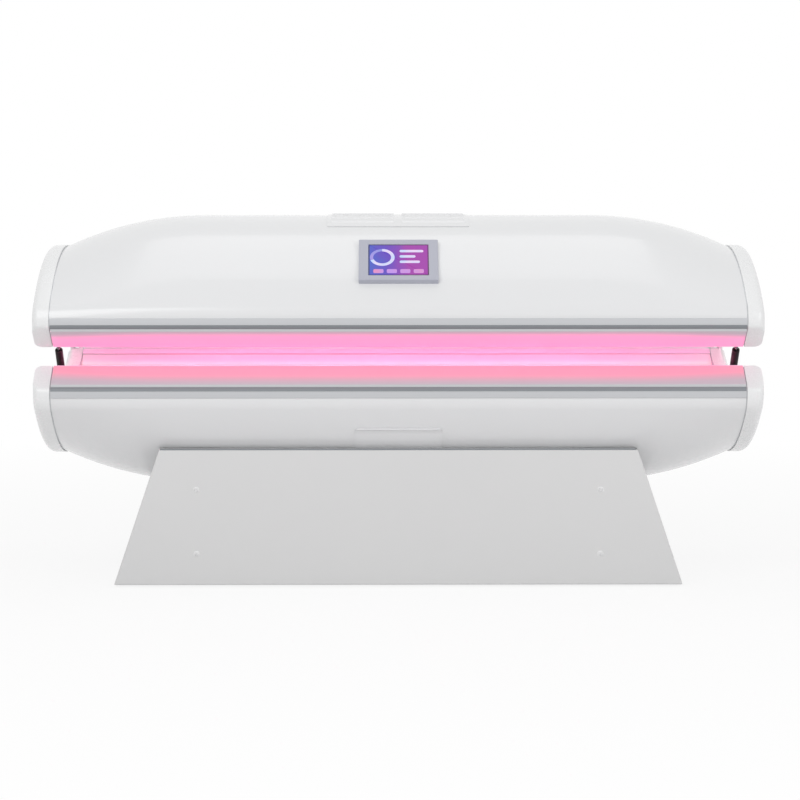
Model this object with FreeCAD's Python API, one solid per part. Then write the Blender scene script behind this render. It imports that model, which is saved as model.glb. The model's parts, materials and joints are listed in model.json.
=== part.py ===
"""Red light therapy bed: two mirrored halves on a stand, the upper half hinged at the rear.

Millimetres, +X along the bed, +Y to the rear, +Z up, origin on the floor under the middle.
Heights inside the halves are given as a rise above the split plane between them.
The canopy half is drawn; the base half is its mirror image in the split plane.
"""
import FreeCAD
import Part
import math
import os

# Overall sizes
bed_length = 2000.0
bed_depth = 900.0
split_height = 642.0
front_gap = 52.0

# Outline of one half, as rises above the split plane
crease_rise = 85.0
hem_rise = 128.0
end_crown = 295.0
mid_crown = 384.0
knee_radius = 60.0
flat_half_length = 555.0
nose_depth = 80.0
lens_rise = 84.0

# Skins, caps and end frames
skin_wall = 4.0
cap_depth = 47.0
cap_wall = 5.0
cap_round = 20.0
frame_plate = 3.0
frame_inset = 4.0
loft_steps = 5

# Rails with the groove that holds the acrylic
rail_wall = 3.0
flange_height = 24.0
groove_inset = 18.0
groove_rise = 8.0
groove_tilt = 35.0
groove_width = 12.0
front_lip = 16.0
back_lip = 12.0
seal_floor = 4.0

# Acrylic, board tray and boards
acrylic_thickness = 5.0
tray_gap = 42.0
tray_thickness = 2.0
tray_edge_angle = 5.0
board_width = 52.0
board_gap = 8.0
board_thickness = 1.6
board_end_gap = 30.0

# Frame tubes, ribs and drivers
tube_width = 30.0
tube_height = 40.0
tube_place = 110.0
rib_places = (-475.0, 0.0, 475.0)
rib_thickness = 3.0
rib_height = 25.0
rib_half_angle = 28.0
driver_length = 250.0
driver_width = 60.0
driver_height = 45.0
driver_place = 450.0
driver_fins = 5
driver_fin_height = 6.0

# Fans, their bracket and the vent grille
fan_side = 150.0
fan_thickness = 38.0
fan_place = 100.0
fan_bore = 144.0
fan_rotor_diameter = 138.0
fan_hub_diameter = 60.0
fan_blade_count = 7
fan_blade_pitch = 35.0
fan_blade_thickness = 2.5
fan_shaft_diameter = 6.0
fan_cup_diameter = 50.0
fan_cup_height = 12.0
fan_strut = 8.0
fan_drop = 54.0
bracket_sheet = 3.0
bracket_length = 400.0
bracket_depth = 200.0
grille_length = 400.0
grille_arc = 360.0
grille_sheet = 2.0
grille_margin = 12.0
slot_rows = 9
slot_width = 12.0
slot_length = 176.0
slot_columns = 2

# Touch screen on the canopy front
screen_from_knee = 155.0
bezel_length = 219.0
bezel_height = 166.0
bezel_stand = 8.0
bezel_sink = 10.0
window_length = 167.0
window_height = 127.0
glass_thickness = 3.0
glass_sink = 1.5
housing_length = 190.0
housing_height = 140.0
housing_depth = 40.0

# Access cover low on the base front
cover_length = 240.0
cover_height = 184.0
cover_from_knee = 65.0
cover_sheet = 2.0
cover_margin = 12.0

# Canopy hinge
hinge_setback = 25.0
hinge_pin_diameter = 14.0
hinge_knuckle_radius = 20.0
hinge_ear_reach = 24.0
hinge_wall_gap = 3.0
hinge_arm_thickness = 15.0
hinge_bush_wall = 2.0
hinge_post_depth = 48.0
hinge_post_drop = 120.0
hinge_arm_height = 130.0
hinge_foot_rise = 60.0

# Gas springs
spring_base_place = 150.0
spring_base_rise = -212.0
spring_top_place = -190.0
spring_top_rise = 158.0
cylinder_diameter = 22.0
cylinder_bore = 18.0
cylinder_length = 285.0
cylinder_end_wall = 10.0
cylinder_guide = 12.0
rod_diameter = 10.0
piston_height = 10.0
piston_rest = 3.0
eye_diameter = 24.0
eye_thickness = 12.0
stud_diameter = 10.0
stud_flange_diameter = 32.0
stud_flange = 4.0
stud_end = 2.0
cylinder_slot_room = 12.0
rod_slot_room = 38.0

# Screws
cap_screw_places = ((-300.0, 150.0), (0.0, 230.0), (300.0, 150.0))
screw_diameter = 5.0
screw_head_diameter = 10.0
screw_head_height = 3.0
boss_diameter = 16.0

# Rear light shield
shield_sheet = 3.0
shield_foot = 30.0
shield_rise = 22.0
shield_setback = 2.0

# Stand
panel_face = 370.0
panel_gap = 14.0
panel_bottom = 6.0
panel_top_half = 663.0
panel_bottom_half = 790.0
panel_sheet = 2.0
panel_return = 18.0
leg_place = 560.0
leg_width = 80.0
post_depth = 50.0
saddle_thickness = 10.0
stand_wall = 3.0
saddle_half_depth = 340.0
floor_bar_bottom = 20.0
floor_bar_height = 40.0
cross_beam_depth = 40.0
foot_diameter = 60.0
foot_pad = 12.0
foot_stem_diameter = 16.0
foot_place = 300.0
panel_screw_below_top = 110.0
panel_screw_above_bottom = 87.0

# Power box, inlet and switch at the rear
power_box_length = 300.0
power_box_depth = 170.0
power_box_height = 120.0
inlet_place = -60.0
inlet_height = 150.0
inlet_length = 92.0
inlet_tall = 34.0
inlet_body_depth = 30.0
inlet_flange = 3.0
socket_length = 30.0
socket_tall = 22.0
socket_depth = 20.0
socket_pin_length = 13.0
socket_pin_width = 2.0
socket_pin_tall = 4.0
socket_pin_spots = ((-7.0, -3.0), (7.0, -3.0), (0.0, 4.0))
rocker_offset = 24.0
rocker_length = 28.0
rocker_tall = 20.0
rocker_depth = 7.0
rocker_axle_diameter = 4.0
rocker_tilt = 8.0
rocker_ridge = 2.0

# Clearances
seat_gap = 0.2
running_gap = 0.05
side_gap = 0.5
saddle_gap = 0.3
slot_gap = 1.5
overlap = 1.0

# Sizes that follow
half_depth = bed_depth / 2
half_length = bed_length / 2
nose_rise = front_gap / 2
cap_inner = half_length - cap_depth
skin_end = cap_inner - frame_plate
nose_place = half_depth - nose_depth
dome_drop = mid_crown - end_crown
dome_run = skin_end - flat_half_length
dome_radius = (dome_run**2 + dome_drop**2) / (2 * dome_drop)
inner_face_x = half_length - cap_wall
spring_x = (cap_inner + inner_face_x) / 2 + stud_end
hinge_place = nose_place + hinge_setback
hinge_room = inner_face_x - hinge_wall_gap - cap_inner - rail_wall
hinge_ear_thickness = (hinge_room - hinge_arm_thickness - 2 * side_gap) / 2
fan_rise = mid_crown - fan_drop
tray_half_angle = groove_tilt - tray_edge_angle
board_length = 2 * (skin_end - board_end_gap)

X_AXIS = FreeCAD.Vector(1, 0, 0)
Y_AXIS = FreeCAD.Vector(0, 1, 0)
Z_AXIS = FreeCAD.Vector(0, 0, 1)


def point(x, y, rise):
    """A point given by its rise above the split plane."""
    return FreeCAD.Vector(x, y, split_height + rise)


def to_base(shape):
    """Mirror image in the split plane."""
    return shape.mirror(FreeCAD.Vector(0, 0, split_height), Z_AXIS)


def to_left(shape):
    """Mirror image on the other end of the bed."""
    return shape.mirror(FreeCAD.Vector(0, 0, 0), X_AXIS)


def to_rear(shape):
    """Mirror image on the other long side."""
    return shape.mirror(FreeCAD.Vector(0, 0, 0), Y_AXIS)


def block(x_low, x_high, y_low, y_high, z_low, z_high):
    """Box between two corners, heights from the floor."""
    size = (x_high - x_low, y_high - y_low, z_high - z_low)
    return Part.makeBox(*size, FreeCAD.Vector(x_low, y_low, z_low))


def half_block(x_low, x_high, y_low, y_high, rise_low, rise_high):
    """Box between two corners, heights as rises above the split plane."""
    return block(x_low, x_high, y_low, y_high, split_height + rise_low, split_height + rise_high)


def prism(outline, x_low, x_high):
    """Straight bar along X with corners given as (y, rise)."""
    corners = [point(x_low, y, rise) for y, rise in outline]
    face = Part.Face(Part.makePolygon(corners + corners[:1]))
    return face.extrude(FreeCAD.Vector(x_high - x_low, 0, 0))


def round_bar(diameter, start, along, length):
    """Round bar from a start point along a direction."""
    return Part.makeCylinder(diameter / 2, length, start, along)


def crossbar(diameter, x_low, x_high, y, rise):
    """Round bar along X."""
    return round_bar(diameter, point(x_low, y, rise), X_AXIS, x_high - x_low)


def one_solid(shape):
    """The single solid of a boolean result."""
    clean = shape.removeSplitter()
    if len(clean.Solids) != 1:
        raise ValueError(f"expected one solid, found {len(clean.Solids)}")
    return clean.Solids[0]


def save(name, *shapes):
    """Write one node."""
    solids = [solid for shape in shapes for solid in shape.Solids]
    node = solids[0] if len(solids) == 1 else Part.makeCompound(solids)
    node.exportStep(f"parts/{name}.step")
    state = "valid" if node.isValid() else "NOT VALID"
    print(f"{name}: {len(solids)} solids, {state}, {node.Volume / 1000:.1f} cm3")


# Skins

def crown_at(x):
    """Crown rise of the skin at a place along the bed."""
    run = max(0.0, abs(x) - flat_half_length)
    return mid_crown - dome_radius + math.sqrt(dome_radius**2 - run**2)


def crown_arc(crown):
    """Radius and centre rise of the crown arc through the two hem corners."""
    half = half_depth - rail_wall
    height = crown - hem_rise
    radius = (half**2 + height**2) / (2 * height)
    return radius, crown - radius


def skin_underside(y):
    """Height from the floor of the base skin's straight middle at a place from the middle."""
    radius, center = crown_arc(mid_crown)
    return split_height - center - math.sqrt(radius**2 - y**2)


def knee_angle():
    """Angle from the vertical at which the middle crown arc runs into the knee, in degrees."""
    radius = crown_arc(mid_crown)[0]
    return math.degrees(math.asin((half_depth - rail_wall - knee_radius) / (radius - knee_radius)))


def skin_edges(x, crown, offset, foot_rise):
    """Edges from the front hem over the crown to the rear hem, moved in by an offset."""
    full_radius, center = crown_arc(crown)
    radius = full_radius - offset
    half = half_depth - rail_wall - offset
    knee = knee_radius - offset
    knee_y = half - knee
    knee_rise = center + math.sqrt((radius - knee)**2 - knee_y**2)
    stretch = radius / (radius - knee)
    touch_y = knee_y * stretch
    touch_rise = center + (knee_rise - center) * stretch
    half_turn = math.atan2(knee_rise - center, knee_y) / 2
    mid_y = knee_y + knee * math.cos(half_turn)
    mid_rise = knee_rise + knee * math.sin(half_turn)
    front = Part.LineSegment(point(x, -half, foot_rise), point(x, -half, knee_rise))
    front_knee = Part.Arc(point(x, -half, knee_rise), point(x, -mid_y, mid_rise),
                          point(x, -touch_y, touch_rise))
    crown_curve = Part.Arc(point(x, -touch_y, touch_rise), point(x, 0, center + radius),
                           point(x, touch_y, touch_rise))
    rear_knee = Part.Arc(point(x, touch_y, touch_rise), point(x, mid_y, mid_rise),
                         point(x, half, knee_rise))
    rear = Part.LineSegment(point(x, half, knee_rise), point(x, half, foot_rise))
    curves = (front, front_knee, crown_curve, rear_knee, rear)
    return [curve.toShape() for curve in curves]


def skin_section(x, offset, foot_rise):
    """Closed wire across the skin."""
    edges = skin_edges(x, crown_at(x), offset, foot_rise)
    front = edges[0].Vertexes[0].Point
    rear = edges[-1].Vertexes[-1].Point
    return Part.Wire(edges + [Part.LineSegment(rear, front).toShape()])


def skin_block(offset, foot_rise):
    """Full block under the skin: a straight middle and a domed run at each end."""
    middle = Part.Face(skin_section(-flat_half_length, offset, foot_rise))
    middle = middle.extrude(FreeCAD.Vector(2 * flat_half_length, 0, 0))
    stations = [flat_half_length + dome_run * step / loft_steps for step in range(loft_steps + 1)]
    sections = [skin_section(x, offset, foot_rise) for x in stations]
    right = Part.makeLoft(sections, True, False)
    return middle.fuse([right, to_left(right)])


def skin_shell():
    """Plain skin of one half."""
    foot = crease_rise + rail_wall
    return skin_block(0.0, foot).cut(skin_block(skin_wall, foot - 2 * rail_wall))


def mid_arc_sheet(low_angle, high_angle, half_long, lift, thickness):
    """Curved sheet over the straight middle, between two angles from the vertical, front positive."""
    radius, center = crown_arc(mid_crown)
    inner = radius + lift
    outer = inner + thickness
    middle = (low_angle + high_angle) / 2

    def on_arc(size, angle):
        turn = math.radians(angle)
        return point(-half_long, -size * math.sin(turn), center + size * math.cos(turn))

    inner_arc = Part.Arc(on_arc(inner, low_angle), on_arc(inner, middle), on_arc(inner, high_angle))
    outer_arc = Part.Arc(on_arc(outer, high_angle), on_arc(outer, middle), on_arc(outer, low_angle))
    high_side = Part.LineSegment(on_arc(inner, high_angle), on_arc(outer, high_angle))
    low_side = Part.LineSegment(on_arc(outer, low_angle), on_arc(inner, low_angle))
    curves = (inner_arc, high_side, outer_arc, low_side)
    face = Part.Face(Part.Wire([curve.toShape() for curve in curves]))
    return face.extrude(FreeCAD.Vector(2 * half_long, 0, 0))


def arc_angle(length):
    """Angle of a length along the middle crown arc, in degrees."""
    return math.degrees(length / crown_arc(mid_crown)[0])


screen_angle = knee_angle() - arc_angle(screen_from_knee)
cover_high_angle = knee_angle() - arc_angle(cover_from_knee)
cover_low_angle = cover_high_angle - arc_angle(cover_height)


def mid_arc_opening(low_angle, high_angle, half_long):
    """Cutter through the skin over the straight middle."""
    reach = 3 * skin_wall
    return mid_arc_sheet(low_angle, high_angle, half_long, -reach, 2 * reach)


# Caps and end frames

def cap_outline(x):
    """Closed outline of a canopy end cap, with the lens-shaped edge that faces the tunnel."""
    edges = skin_edges(x, end_crown, -rail_wall, crease_rise)
    front_crease = point(x, -half_depth, crease_rise)
    rear_crease = point(x, half_depth, crease_rise)
    front_nose = point(x, -nose_place, nose_rise)
    rear_nose = point(x, nose_place, nose_rise)
    edges.append(Part.LineSegment(rear_crease, rear_nose).toShape())
    lens = Part.Arc(rear_nose, point(x, 0, nose_rise + lens_rise), front_nose)
    edges.append(lens.toShape())
    edges.append(Part.LineSegment(front_nose, front_crease).toShape())
    return Part.Face(Part.Wire(edges))


def cap_block(inset):
    """Right-hand canopy cap as a full block, moved in by an inset and rounded along its hem and crown."""
    outline = cap_outline(cap_inner)
    if inset:
        outline = outline.makeOffset2D(-inset)
    end = half_length - inset
    body = outline.extrude(FreeCAD.Vector(end - cap_inner, 0, 0))
    crease = split_height + crease_rise + inset
    outer_edges = [edge for edge in body.Edges if edge.BoundBox.XMin > end - overlap]
    rounded = [edge for edge in outer_edges if edge.BoundBox.ZMax > crease + overlap]
    return body.makeFillet(cap_round - inset, rounded)


def screw_at(y, rise):
    """Screw through the right-hand cap into its end frame."""
    head_low = half_length - screw_head_height - seat_gap
    head = crossbar(screw_head_diameter, head_low, half_length - seat_gap, y, rise)
    shank = crossbar(screw_diameter - 2 * running_gap, skin_end, head_low, y, rise)
    return one_solid(head.fuse(shank))


def end_cap():
    """Right-hand canopy cap: hollow, with screw bosses."""
    cap = cap_block(0.0).cut(cap_block(cap_wall))
    for y, rise in cap_screw_places:
        boss = crossbar(boss_diameter, cap_inner, inner_face_x, y, rise)
        hole = crossbar(screw_diameter, cap_inner, half_length, y, rise)
        sink_low = half_length - screw_head_height - seat_gap
        sink = crossbar(screw_head_diameter + 2 * seat_gap, sink_low, half_length, y, rise)
        cap = cap.fuse(boss).cut(hole).cut(sink)
    return cap


def cap_cut(y_low, y_high, rise_high):
    """Cutter for a slot through the facing edge of a cap, inside its outer wall."""
    return half_block(cap_inner - overlap, inner_face_x - side_gap, y_low, y_high, 0, rise_high)


def end_frame():
    """Right-hand steel plate that closes the skin's end and carries hinge and spring."""
    plate = cap_outline(skin_end).makeOffset2D(-frame_inset)
    plate = plate.extrude(FreeCAD.Vector(frame_plate, 0, 0))
    for y, rise in cap_screw_places:
        plate = plate.cut(crossbar(screw_diameter, skin_end, cap_inner, y, rise))
    return one_solid(plate)


# Rails, seals and acrylic

groove_y = -(nose_place - groove_inset)
groove_height = nose_rise + groove_rise
groove_cos = math.cos(math.radians(groove_tilt))
groove_sin = math.sin(math.radians(groove_tilt))


def in_groove(along, across):
    """(y, rise) of a spot in the front rail's groove, along its depth and across its width."""
    y = groove_y + along * groove_cos - across * groove_sin
    rise = groove_height + along * groove_sin + across * groove_cos
    return y, rise


def slope_rise(y):
    """Rise of the rail's sloping face at a place from the middle."""
    return nose_rise + (abs(y) - nose_place) * (crease_rise - nose_rise) / nose_depth


def front_rail():
    """Front rail of the canopy: flange over the skin, slope to the nose, groove for the acrylic."""
    half_groove = groove_width / 2
    outer_lip = half_groove + rail_wall
    slope_length = math.hypot(nose_depth, crease_rise - nose_rise)
    lift = rail_wall * slope_length / nose_depth
    root_y = -(nose_place + 2 * rail_wall)
    flange_y = -(half_depth - rail_wall)
    flange_top = crease_rise + flange_height
    outline = [
        (-half_depth, flange_top),
        (-half_depth, crease_rise),
        (-nose_place, nose_rise),
        in_groove(0, -outer_lip),
        in_groove(front_lip, -outer_lip),
        in_groove(front_lip, -half_groove),
        in_groove(0, -half_groove),
        in_groove(0, half_groove),
        in_groove(back_lip, half_groove),
        in_groove(back_lip, outer_lip),
        in_groove(0, outer_lip),
        (root_y, slope_rise(root_y) + lift),
        (flange_y, slope_rise(flange_y) + lift),
        (flange_y, flange_top),
    ]
    return prism(outline, -skin_end, skin_end)


def front_seal():
    """Rubber channel in the front groove, open to the acrylic."""
    half = groove_width / 2 - seat_gap
    slot = acrylic_thickness / 2 + seat_gap
    outline = [
        in_groove(seat_gap, -half),
        in_groove(front_lip, -half),
        in_groove(front_lip, -slot),
        in_groove(seal_floor, -slot),
        in_groove(seal_floor, slot),
        in_groove(back_lip, slot),
        in_groove(back_lip, half),
        in_groove(seat_gap, half),
    ]
    return prism(outline, -skin_end, skin_end)


acrylic_edge = in_groove(seal_floor + seat_gap, 0)
acrylic_radius = -acrylic_edge[0] / groove_sin
acrylic_center = acrylic_edge[1] - acrylic_radius * groove_cos
tray_radius = acrylic_radius + acrylic_thickness / 2 + tray_gap
tray_back = tray_radius + tray_thickness
tube_rise = acrylic_center + math.sqrt(tray_back**2 - (tube_place - tube_width / 2)**2) + seat_gap


def tunnel_sheet(inner, outer, half_angle, x_low, x_high):
    """Curved sheet about the tunnel's axis between two radii."""
    turn = math.radians(half_angle)

    def on_arc(size, angle):
        return point(x_low, size * math.sin(angle), acrylic_center + size * math.cos(angle))

    inner_arc = Part.Arc(on_arc(inner, -turn), on_arc(inner, 0), on_arc(inner, turn))
    outer_arc = Part.Arc(on_arc(outer, turn), on_arc(outer, 0), on_arc(outer, -turn))
    rear = Part.LineSegment(on_arc(inner, turn), on_arc(outer, turn))
    front = Part.LineSegment(on_arc(outer, -turn), on_arc(inner, -turn))
    curves = (inner_arc, rear, outer_arc, front)
    face = Part.Face(Part.Wire([curve.toShape() for curve in curves]))
    return face.extrude(FreeCAD.Vector(x_high - x_low, 0, 0))


def acrylic_sheet():
    """Clear sheet between the two grooves."""
    inner = acrylic_radius - acrylic_thickness / 2
    outer = acrylic_radius + acrylic_thickness / 2
    return tunnel_sheet(inner, outer, groove_tilt, -skin_end, skin_end)


def board_tray():
    """Curved aluminium tray behind the acrylic."""
    return tunnel_sheet(tray_radius, tray_back, tray_half_angle, -skin_end, skin_end)


def led_boards():
    """Flat boards on the tunnel side of the tray."""
    back = math.sqrt(tray_radius**2 - (board_width / 2)**2) - seat_gap
    spread = 2 * math.degrees(math.atan((board_width + board_gap) / 2 / back))
    board_count = int(2 * tray_half_angle // spread)
    flat = Part.makeBox(board_length, board_width, board_thickness,
                        FreeCAD.Vector(-board_length / 2, -board_width / 2, back - board_thickness))
    boards = []
    for index in range(board_count):
        board = flat.copy()
        angle = (index - (board_count - 1) / 2) * spread
        board.rotate(FreeCAD.Vector(0, 0, 0), X_AXIS, angle)
        board.translate(point(0, 0, acrylic_center))
        boards.append(board)
    return boards


# Frame tubes, drivers, fans and vents

def frame_tubes():
    """Two long hollow tubes between the end frames, and three ribs over the tray."""
    wall = rail_wall
    tubes = []
    for side in (-1, 1):
        low = side * tube_place - tube_width / 2
        high = side * tube_place + tube_width / 2
        outer = half_block(-skin_end, skin_end, low, high, tube_rise, tube_rise + tube_height)
        inner = half_block(-skin_end, skin_end, low + wall, high - wall,
                           tube_rise + wall, tube_rise + tube_height - wall)
        tubes.append((outer, outer.cut(inner)))
    ribs = []
    rib_low = tray_back + seat_gap
    for place in rib_places:
        rib = tunnel_sheet(rib_low, rib_low + rib_height, rib_half_angle,
                           place - rib_thickness / 2, place + rib_thickness / 2)
        for outer, _ in tubes:
            rib = rib.cut(outer)
        ribs.extend(rib.Solids)
    return [tube for _, tube in tubes] + ribs


def drivers():
    """Four driver boxes on the tubes, each with its cooling fins along the top."""
    boxes = []
    fin_width = driver_width / (2 * driver_fins)
    low = tube_rise + tube_height
    for end in (-1, 1):
        for side in (-1, 1):
            x_low = end * driver_place - driver_length / 2
            y_low = side * tube_place - driver_width / 2
            box = half_block(x_low, x_low + driver_length, y_low, y_low + driver_width,
                             low, low + driver_height)
            for index in range(driver_fins):
                cut_low = y_low + (2 * index + 1) * fin_width - fin_width / 2
                groove = half_block(x_low, x_low + driver_length, cut_low, cut_low + fin_width,
                                    low + driver_height - driver_fin_height, low + driver_height)
                box = box.cut(groove)
            boxes.append(one_solid(box))
    return boxes


def fan_frame(place):
    """Square fan frame with its bore, struts and bearing cup."""
    half = fan_side / 2
    frame = half_block(place - half, place + half, -half, half, fan_rise, fan_rise + fan_thickness)
    frame = frame.cut(round_bar(fan_bore, point(place, 0, fan_rise), Z_AXIS, fan_thickness))
    cup = round_bar(fan_cup_diameter, point(place, 0, fan_rise), Z_AXIS, fan_cup_height)
    reach = fan_bore / 2 + overlap
    along = half_block(place - reach, place + reach, -fan_strut / 2, fan_strut / 2,
                       fan_rise, fan_rise + fan_strut / 2)
    across = half_block(place - fan_strut / 2, place + fan_strut / 2, -reach, reach,
                        fan_rise, fan_rise + fan_strut / 2)
    frame = frame.fuse([cup, along, across])
    bearing = fan_shaft_diameter + 2 * running_gap
    return one_solid(frame.cut(round_bar(bearing, point(place, 0, fan_rise), Z_AXIS, fan_cup_height)))


def fan_rotor(place):
    """Hub with shaft and pitched blades."""
    hub_low = fan_rise + fan_cup_height + side_gap
    hub_high = fan_rise + fan_thickness - 2 * side_gap
    shaft_low = fan_rise + side_gap
    rotor = round_bar(fan_hub_diameter, point(0, 0, hub_low), Z_AXIS, hub_high - hub_low)
    shaft_length = hub_low - shaft_low + overlap
    rotor = rotor.fuse(round_bar(fan_shaft_diameter, point(0, 0, shaft_low), Z_AXIS, shaft_length))
    blade_low = fan_hub_diameter / 2 - fan_blade_thickness
    chord = (hub_high - hub_low - 2 * fan_blade_thickness) / math.sin(math.radians(fan_blade_pitch))
    middle = (hub_low + hub_high) / 2
    blades = []
    for index in range(fan_blade_count):
        blade = Part.makeBox(fan_rotor_diameter / 2 - blade_low, chord, fan_blade_thickness,
                             FreeCAD.Vector(blade_low, -chord / 2, -fan_blade_thickness / 2))
        blade.rotate(FreeCAD.Vector(0, 0, 0), X_AXIS, fan_blade_pitch)
        blade.rotate(FreeCAD.Vector(0, 0, 0), Z_AXIS, 360.0 * index / fan_blade_count)
        blade.translate(point(0, 0, middle))
        blades.append(blade)
    rotor = rotor.fuse(blades)
    swept = round_bar(fan_rotor_diameter, point(0, 0, shaft_low), Z_AXIS, hub_high - shaft_low)
    rotor = one_solid(rotor.common(swept))
    rotor.translate(FreeCAD.Vector(place, 0, 0))
    return rotor


def fan_bracket():
    """Folded sheet that stands on the tubes and carries both fans."""
    half_x = bracket_length / 2
    half_y = bracket_depth / 2
    low = tube_rise + tube_height
    top = fan_rise
    bracket = half_block(-half_x, half_x, -half_y, half_y, low, top)
    inside = half_block(-half_x, half_x, -half_y + bracket_sheet, half_y - bracket_sheet,
                        low, top - bracket_sheet)
    bracket = bracket.cut(inside)
    for side in (-1, 1):
        bore = round_bar(fan_bore, point(side * fan_place, 0, top - bracket_sheet), Z_AXIS, bracket_sheet)
        bracket = bracket.cut(bore)
    return one_solid(bracket)


def vent_grille():
    """Curved louvre sheet over the vent opening at the crown."""
    half_angle = arc_angle(grille_arc) / 2
    sheet = mid_arc_sheet(-half_angle, half_angle, grille_length / 2, seat_gap, grille_sheet)
    radius, center = crown_arc(mid_crown)
    column_step = grille_length / slot_columns
    row_step = arc_angle(grille_arc - 2 * grille_margin) / slot_rows
    for row in range(slot_rows):
        angle = (row - (slot_rows - 1) / 2) * row_step
        for column in range(slot_columns):
            x_low = (column - (slot_columns - 1) / 2) * column_step - slot_length / 2
            slot = Part.makeBox(slot_length, slot_width, 4 * skin_wall,
                                FreeCAD.Vector(x_low, -slot_width / 2, radius - 2 * skin_wall))
            slot.rotate(FreeCAD.Vector(0, 0, 0), X_AXIS, angle)
            slot.translate(point(0, 0, center))
            sheet = sheet.cut(slot)
    return one_solid(sheet)


def vent_opening():
    """Cutter for the vent in a skin."""
    half_angle = arc_angle(grille_arc - 2 * grille_margin) / 2
    return mid_arc_opening(-half_angle, half_angle, grille_length / 2 - grille_margin)


# Screen

def on_screen(shape):
    """Put a shape drawn flat (X along, Y up the slope, Z out) on the canopy's front."""
    radius, center = crown_arc(mid_crown)
    turn = math.radians(screen_angle)
    shape.rotate(FreeCAD.Vector(0, 0, 0), X_AXIS, screen_angle)
    shape.translate(point(0, -radius * math.sin(turn), center + radius * math.cos(turn)))
    return shape


def flat_box(length, height, z_low, z_high):
    """Centred box for the screen's flat drawing."""
    return Part.makeBox(length, height, z_high - z_low, FreeCAD.Vector(-length / 2, -height / 2, z_low))


def skin_cylinder(lift):
    """Round block that fills the canopy's straight middle up to a lift off the skin."""
    radius, center = crown_arc(mid_crown)
    return round_bar(2 * (radius + lift), point(-flat_half_length, 0, center), X_AXIS, 2 * flat_half_length)


def screen_bezel():
    """Grey frame with a window, shaped to the skin behind."""
    frame = flat_box(bezel_length, bezel_height, -bezel_sink, bezel_stand)
    glass_low = bezel_stand - glass_sink - glass_thickness
    pocket = flat_box(housing_length, housing_height, -bezel_sink, glass_low)
    window = flat_box(window_length, window_height, glass_low, bezel_stand)
    frame = frame.cut(pocket).cut(window)
    return one_solid(on_screen(frame).cut(skin_cylinder(seat_gap)))


def screen_glass():
    """Display glass in the bezel's window."""
    low = bezel_stand - glass_sink - glass_thickness
    glass = flat_box(window_length - 2 * seat_gap, window_height - 2 * seat_gap, low, low + glass_thickness)
    return on_screen(glass)


def screen_housing():
    """Box of electronics behind the glass, through the skin."""
    top = bezel_stand - glass_sink - glass_thickness - seat_gap
    box = flat_box(housing_length - 2 * side_gap, housing_height - 2 * side_gap, top - housing_depth, top)
    return on_screen(box)


def screen_opening():
    """Cutter for the housing in the canopy skin."""
    return on_screen(flat_box(housing_length, housing_height, -housing_depth, bezel_stand))


# Hinge

def hinge_post():
    """Right-hand post on the base: a block on the end frame with two ears round the pin."""
    ear_low = cap_inner + rail_wall
    arm_low = ear_low + hinge_ear_thickness + side_gap
    arm_high = arm_low + hinge_arm_thickness
    ear_high = arm_high + side_gap + hinge_ear_thickness
    half = hinge_post_depth / 2
    neck = half_block(ear_low, ear_high, hinge_place - half, hinge_place + half,
                      -hinge_post_drop, hinge_ear_reach)
    foot = half_block(cap_inner, ear_low, hinge_place - half, hinge_place + half,
                      -hinge_post_drop, -hinge_ear_reach - slot_gap)
    post = neck.fuse(foot)
    knuckle_room = half_block(arm_low - side_gap, arm_high + side_gap, hinge_place - 2 * half,
                              hinge_place + 2 * half, -hinge_ear_reach - slot_gap, 2 * half)
    post = post.cut(knuckle_room)
    bore = hinge_pin_diameter + 2 * running_gap
    post = post.cut(crossbar(bore, cap_inner, half_length, hinge_place, 0))
    return one_solid(post)


def hinge_pin():
    """Right-hand pin through both ears."""
    ear_low = cap_inner + rail_wall
    ear_high = ear_low + 2 * hinge_ear_thickness + hinge_arm_thickness + 2 * side_gap
    return crossbar(hinge_pin_diameter, ear_low - overlap, ear_high + overlap, hinge_place, 0)


def hinge_arm():
    """Right-hand arm on the canopy: a knuckle on the pin and a foot on the end frame."""
    arm_low = cap_inner + rail_wall + hinge_ear_thickness + side_gap
    arm_high = arm_low + hinge_arm_thickness
    half = hinge_knuckle_radius
    knuckle = crossbar(2 * half, arm_low, arm_high, hinge_place, 0)
    web = half_block(arm_low, arm_high, hinge_place - half, hinge_place + half, 0, hinge_arm_height)
    foot = half_block(cap_inner, arm_high, hinge_place - half, hinge_place + half,
                      hinge_foot_rise, hinge_arm_height)
    arm = knuckle.fuse([web, foot])
    seat = hinge_pin_diameter + 2 * running_gap + 2 * hinge_bush_wall
    return one_solid(arm.cut(crossbar(seat, arm_low, arm_high, hinge_place, 0)))


def hinge_bush():
    """Right-hand bush in the knuckle, running on the pin."""
    arm_low = cap_inner + rail_wall + hinge_ear_thickness + side_gap
    arm_high = arm_low + hinge_arm_thickness
    bore = hinge_pin_diameter + 2 * running_gap
    outer = bore + 2 * hinge_bush_wall - 2 * running_gap
    tube = crossbar(outer, arm_low, arm_high, hinge_place, 0)
    return tube.cut(crossbar(bore, arm_low, arm_high, hinge_place, 0))


# Gas springs

spring_base = point(spring_x, spring_base_place, spring_base_rise)
spring_top = point(spring_x, spring_top_place, spring_top_rise)
spring_along = (spring_top - spring_base).normalize()
spring_length = (spring_top - spring_base).Length


def along_spring(distance):
    """Point on the right-hand spring's axis, from its lower pivot."""
    return spring_base + spring_along * distance


def spring_y_at(rise):
    """Place of the resting spring's axis at a rise."""
    return spring_base_place + (rise - spring_base_rise) * spring_along.y / spring_along.z


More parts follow.
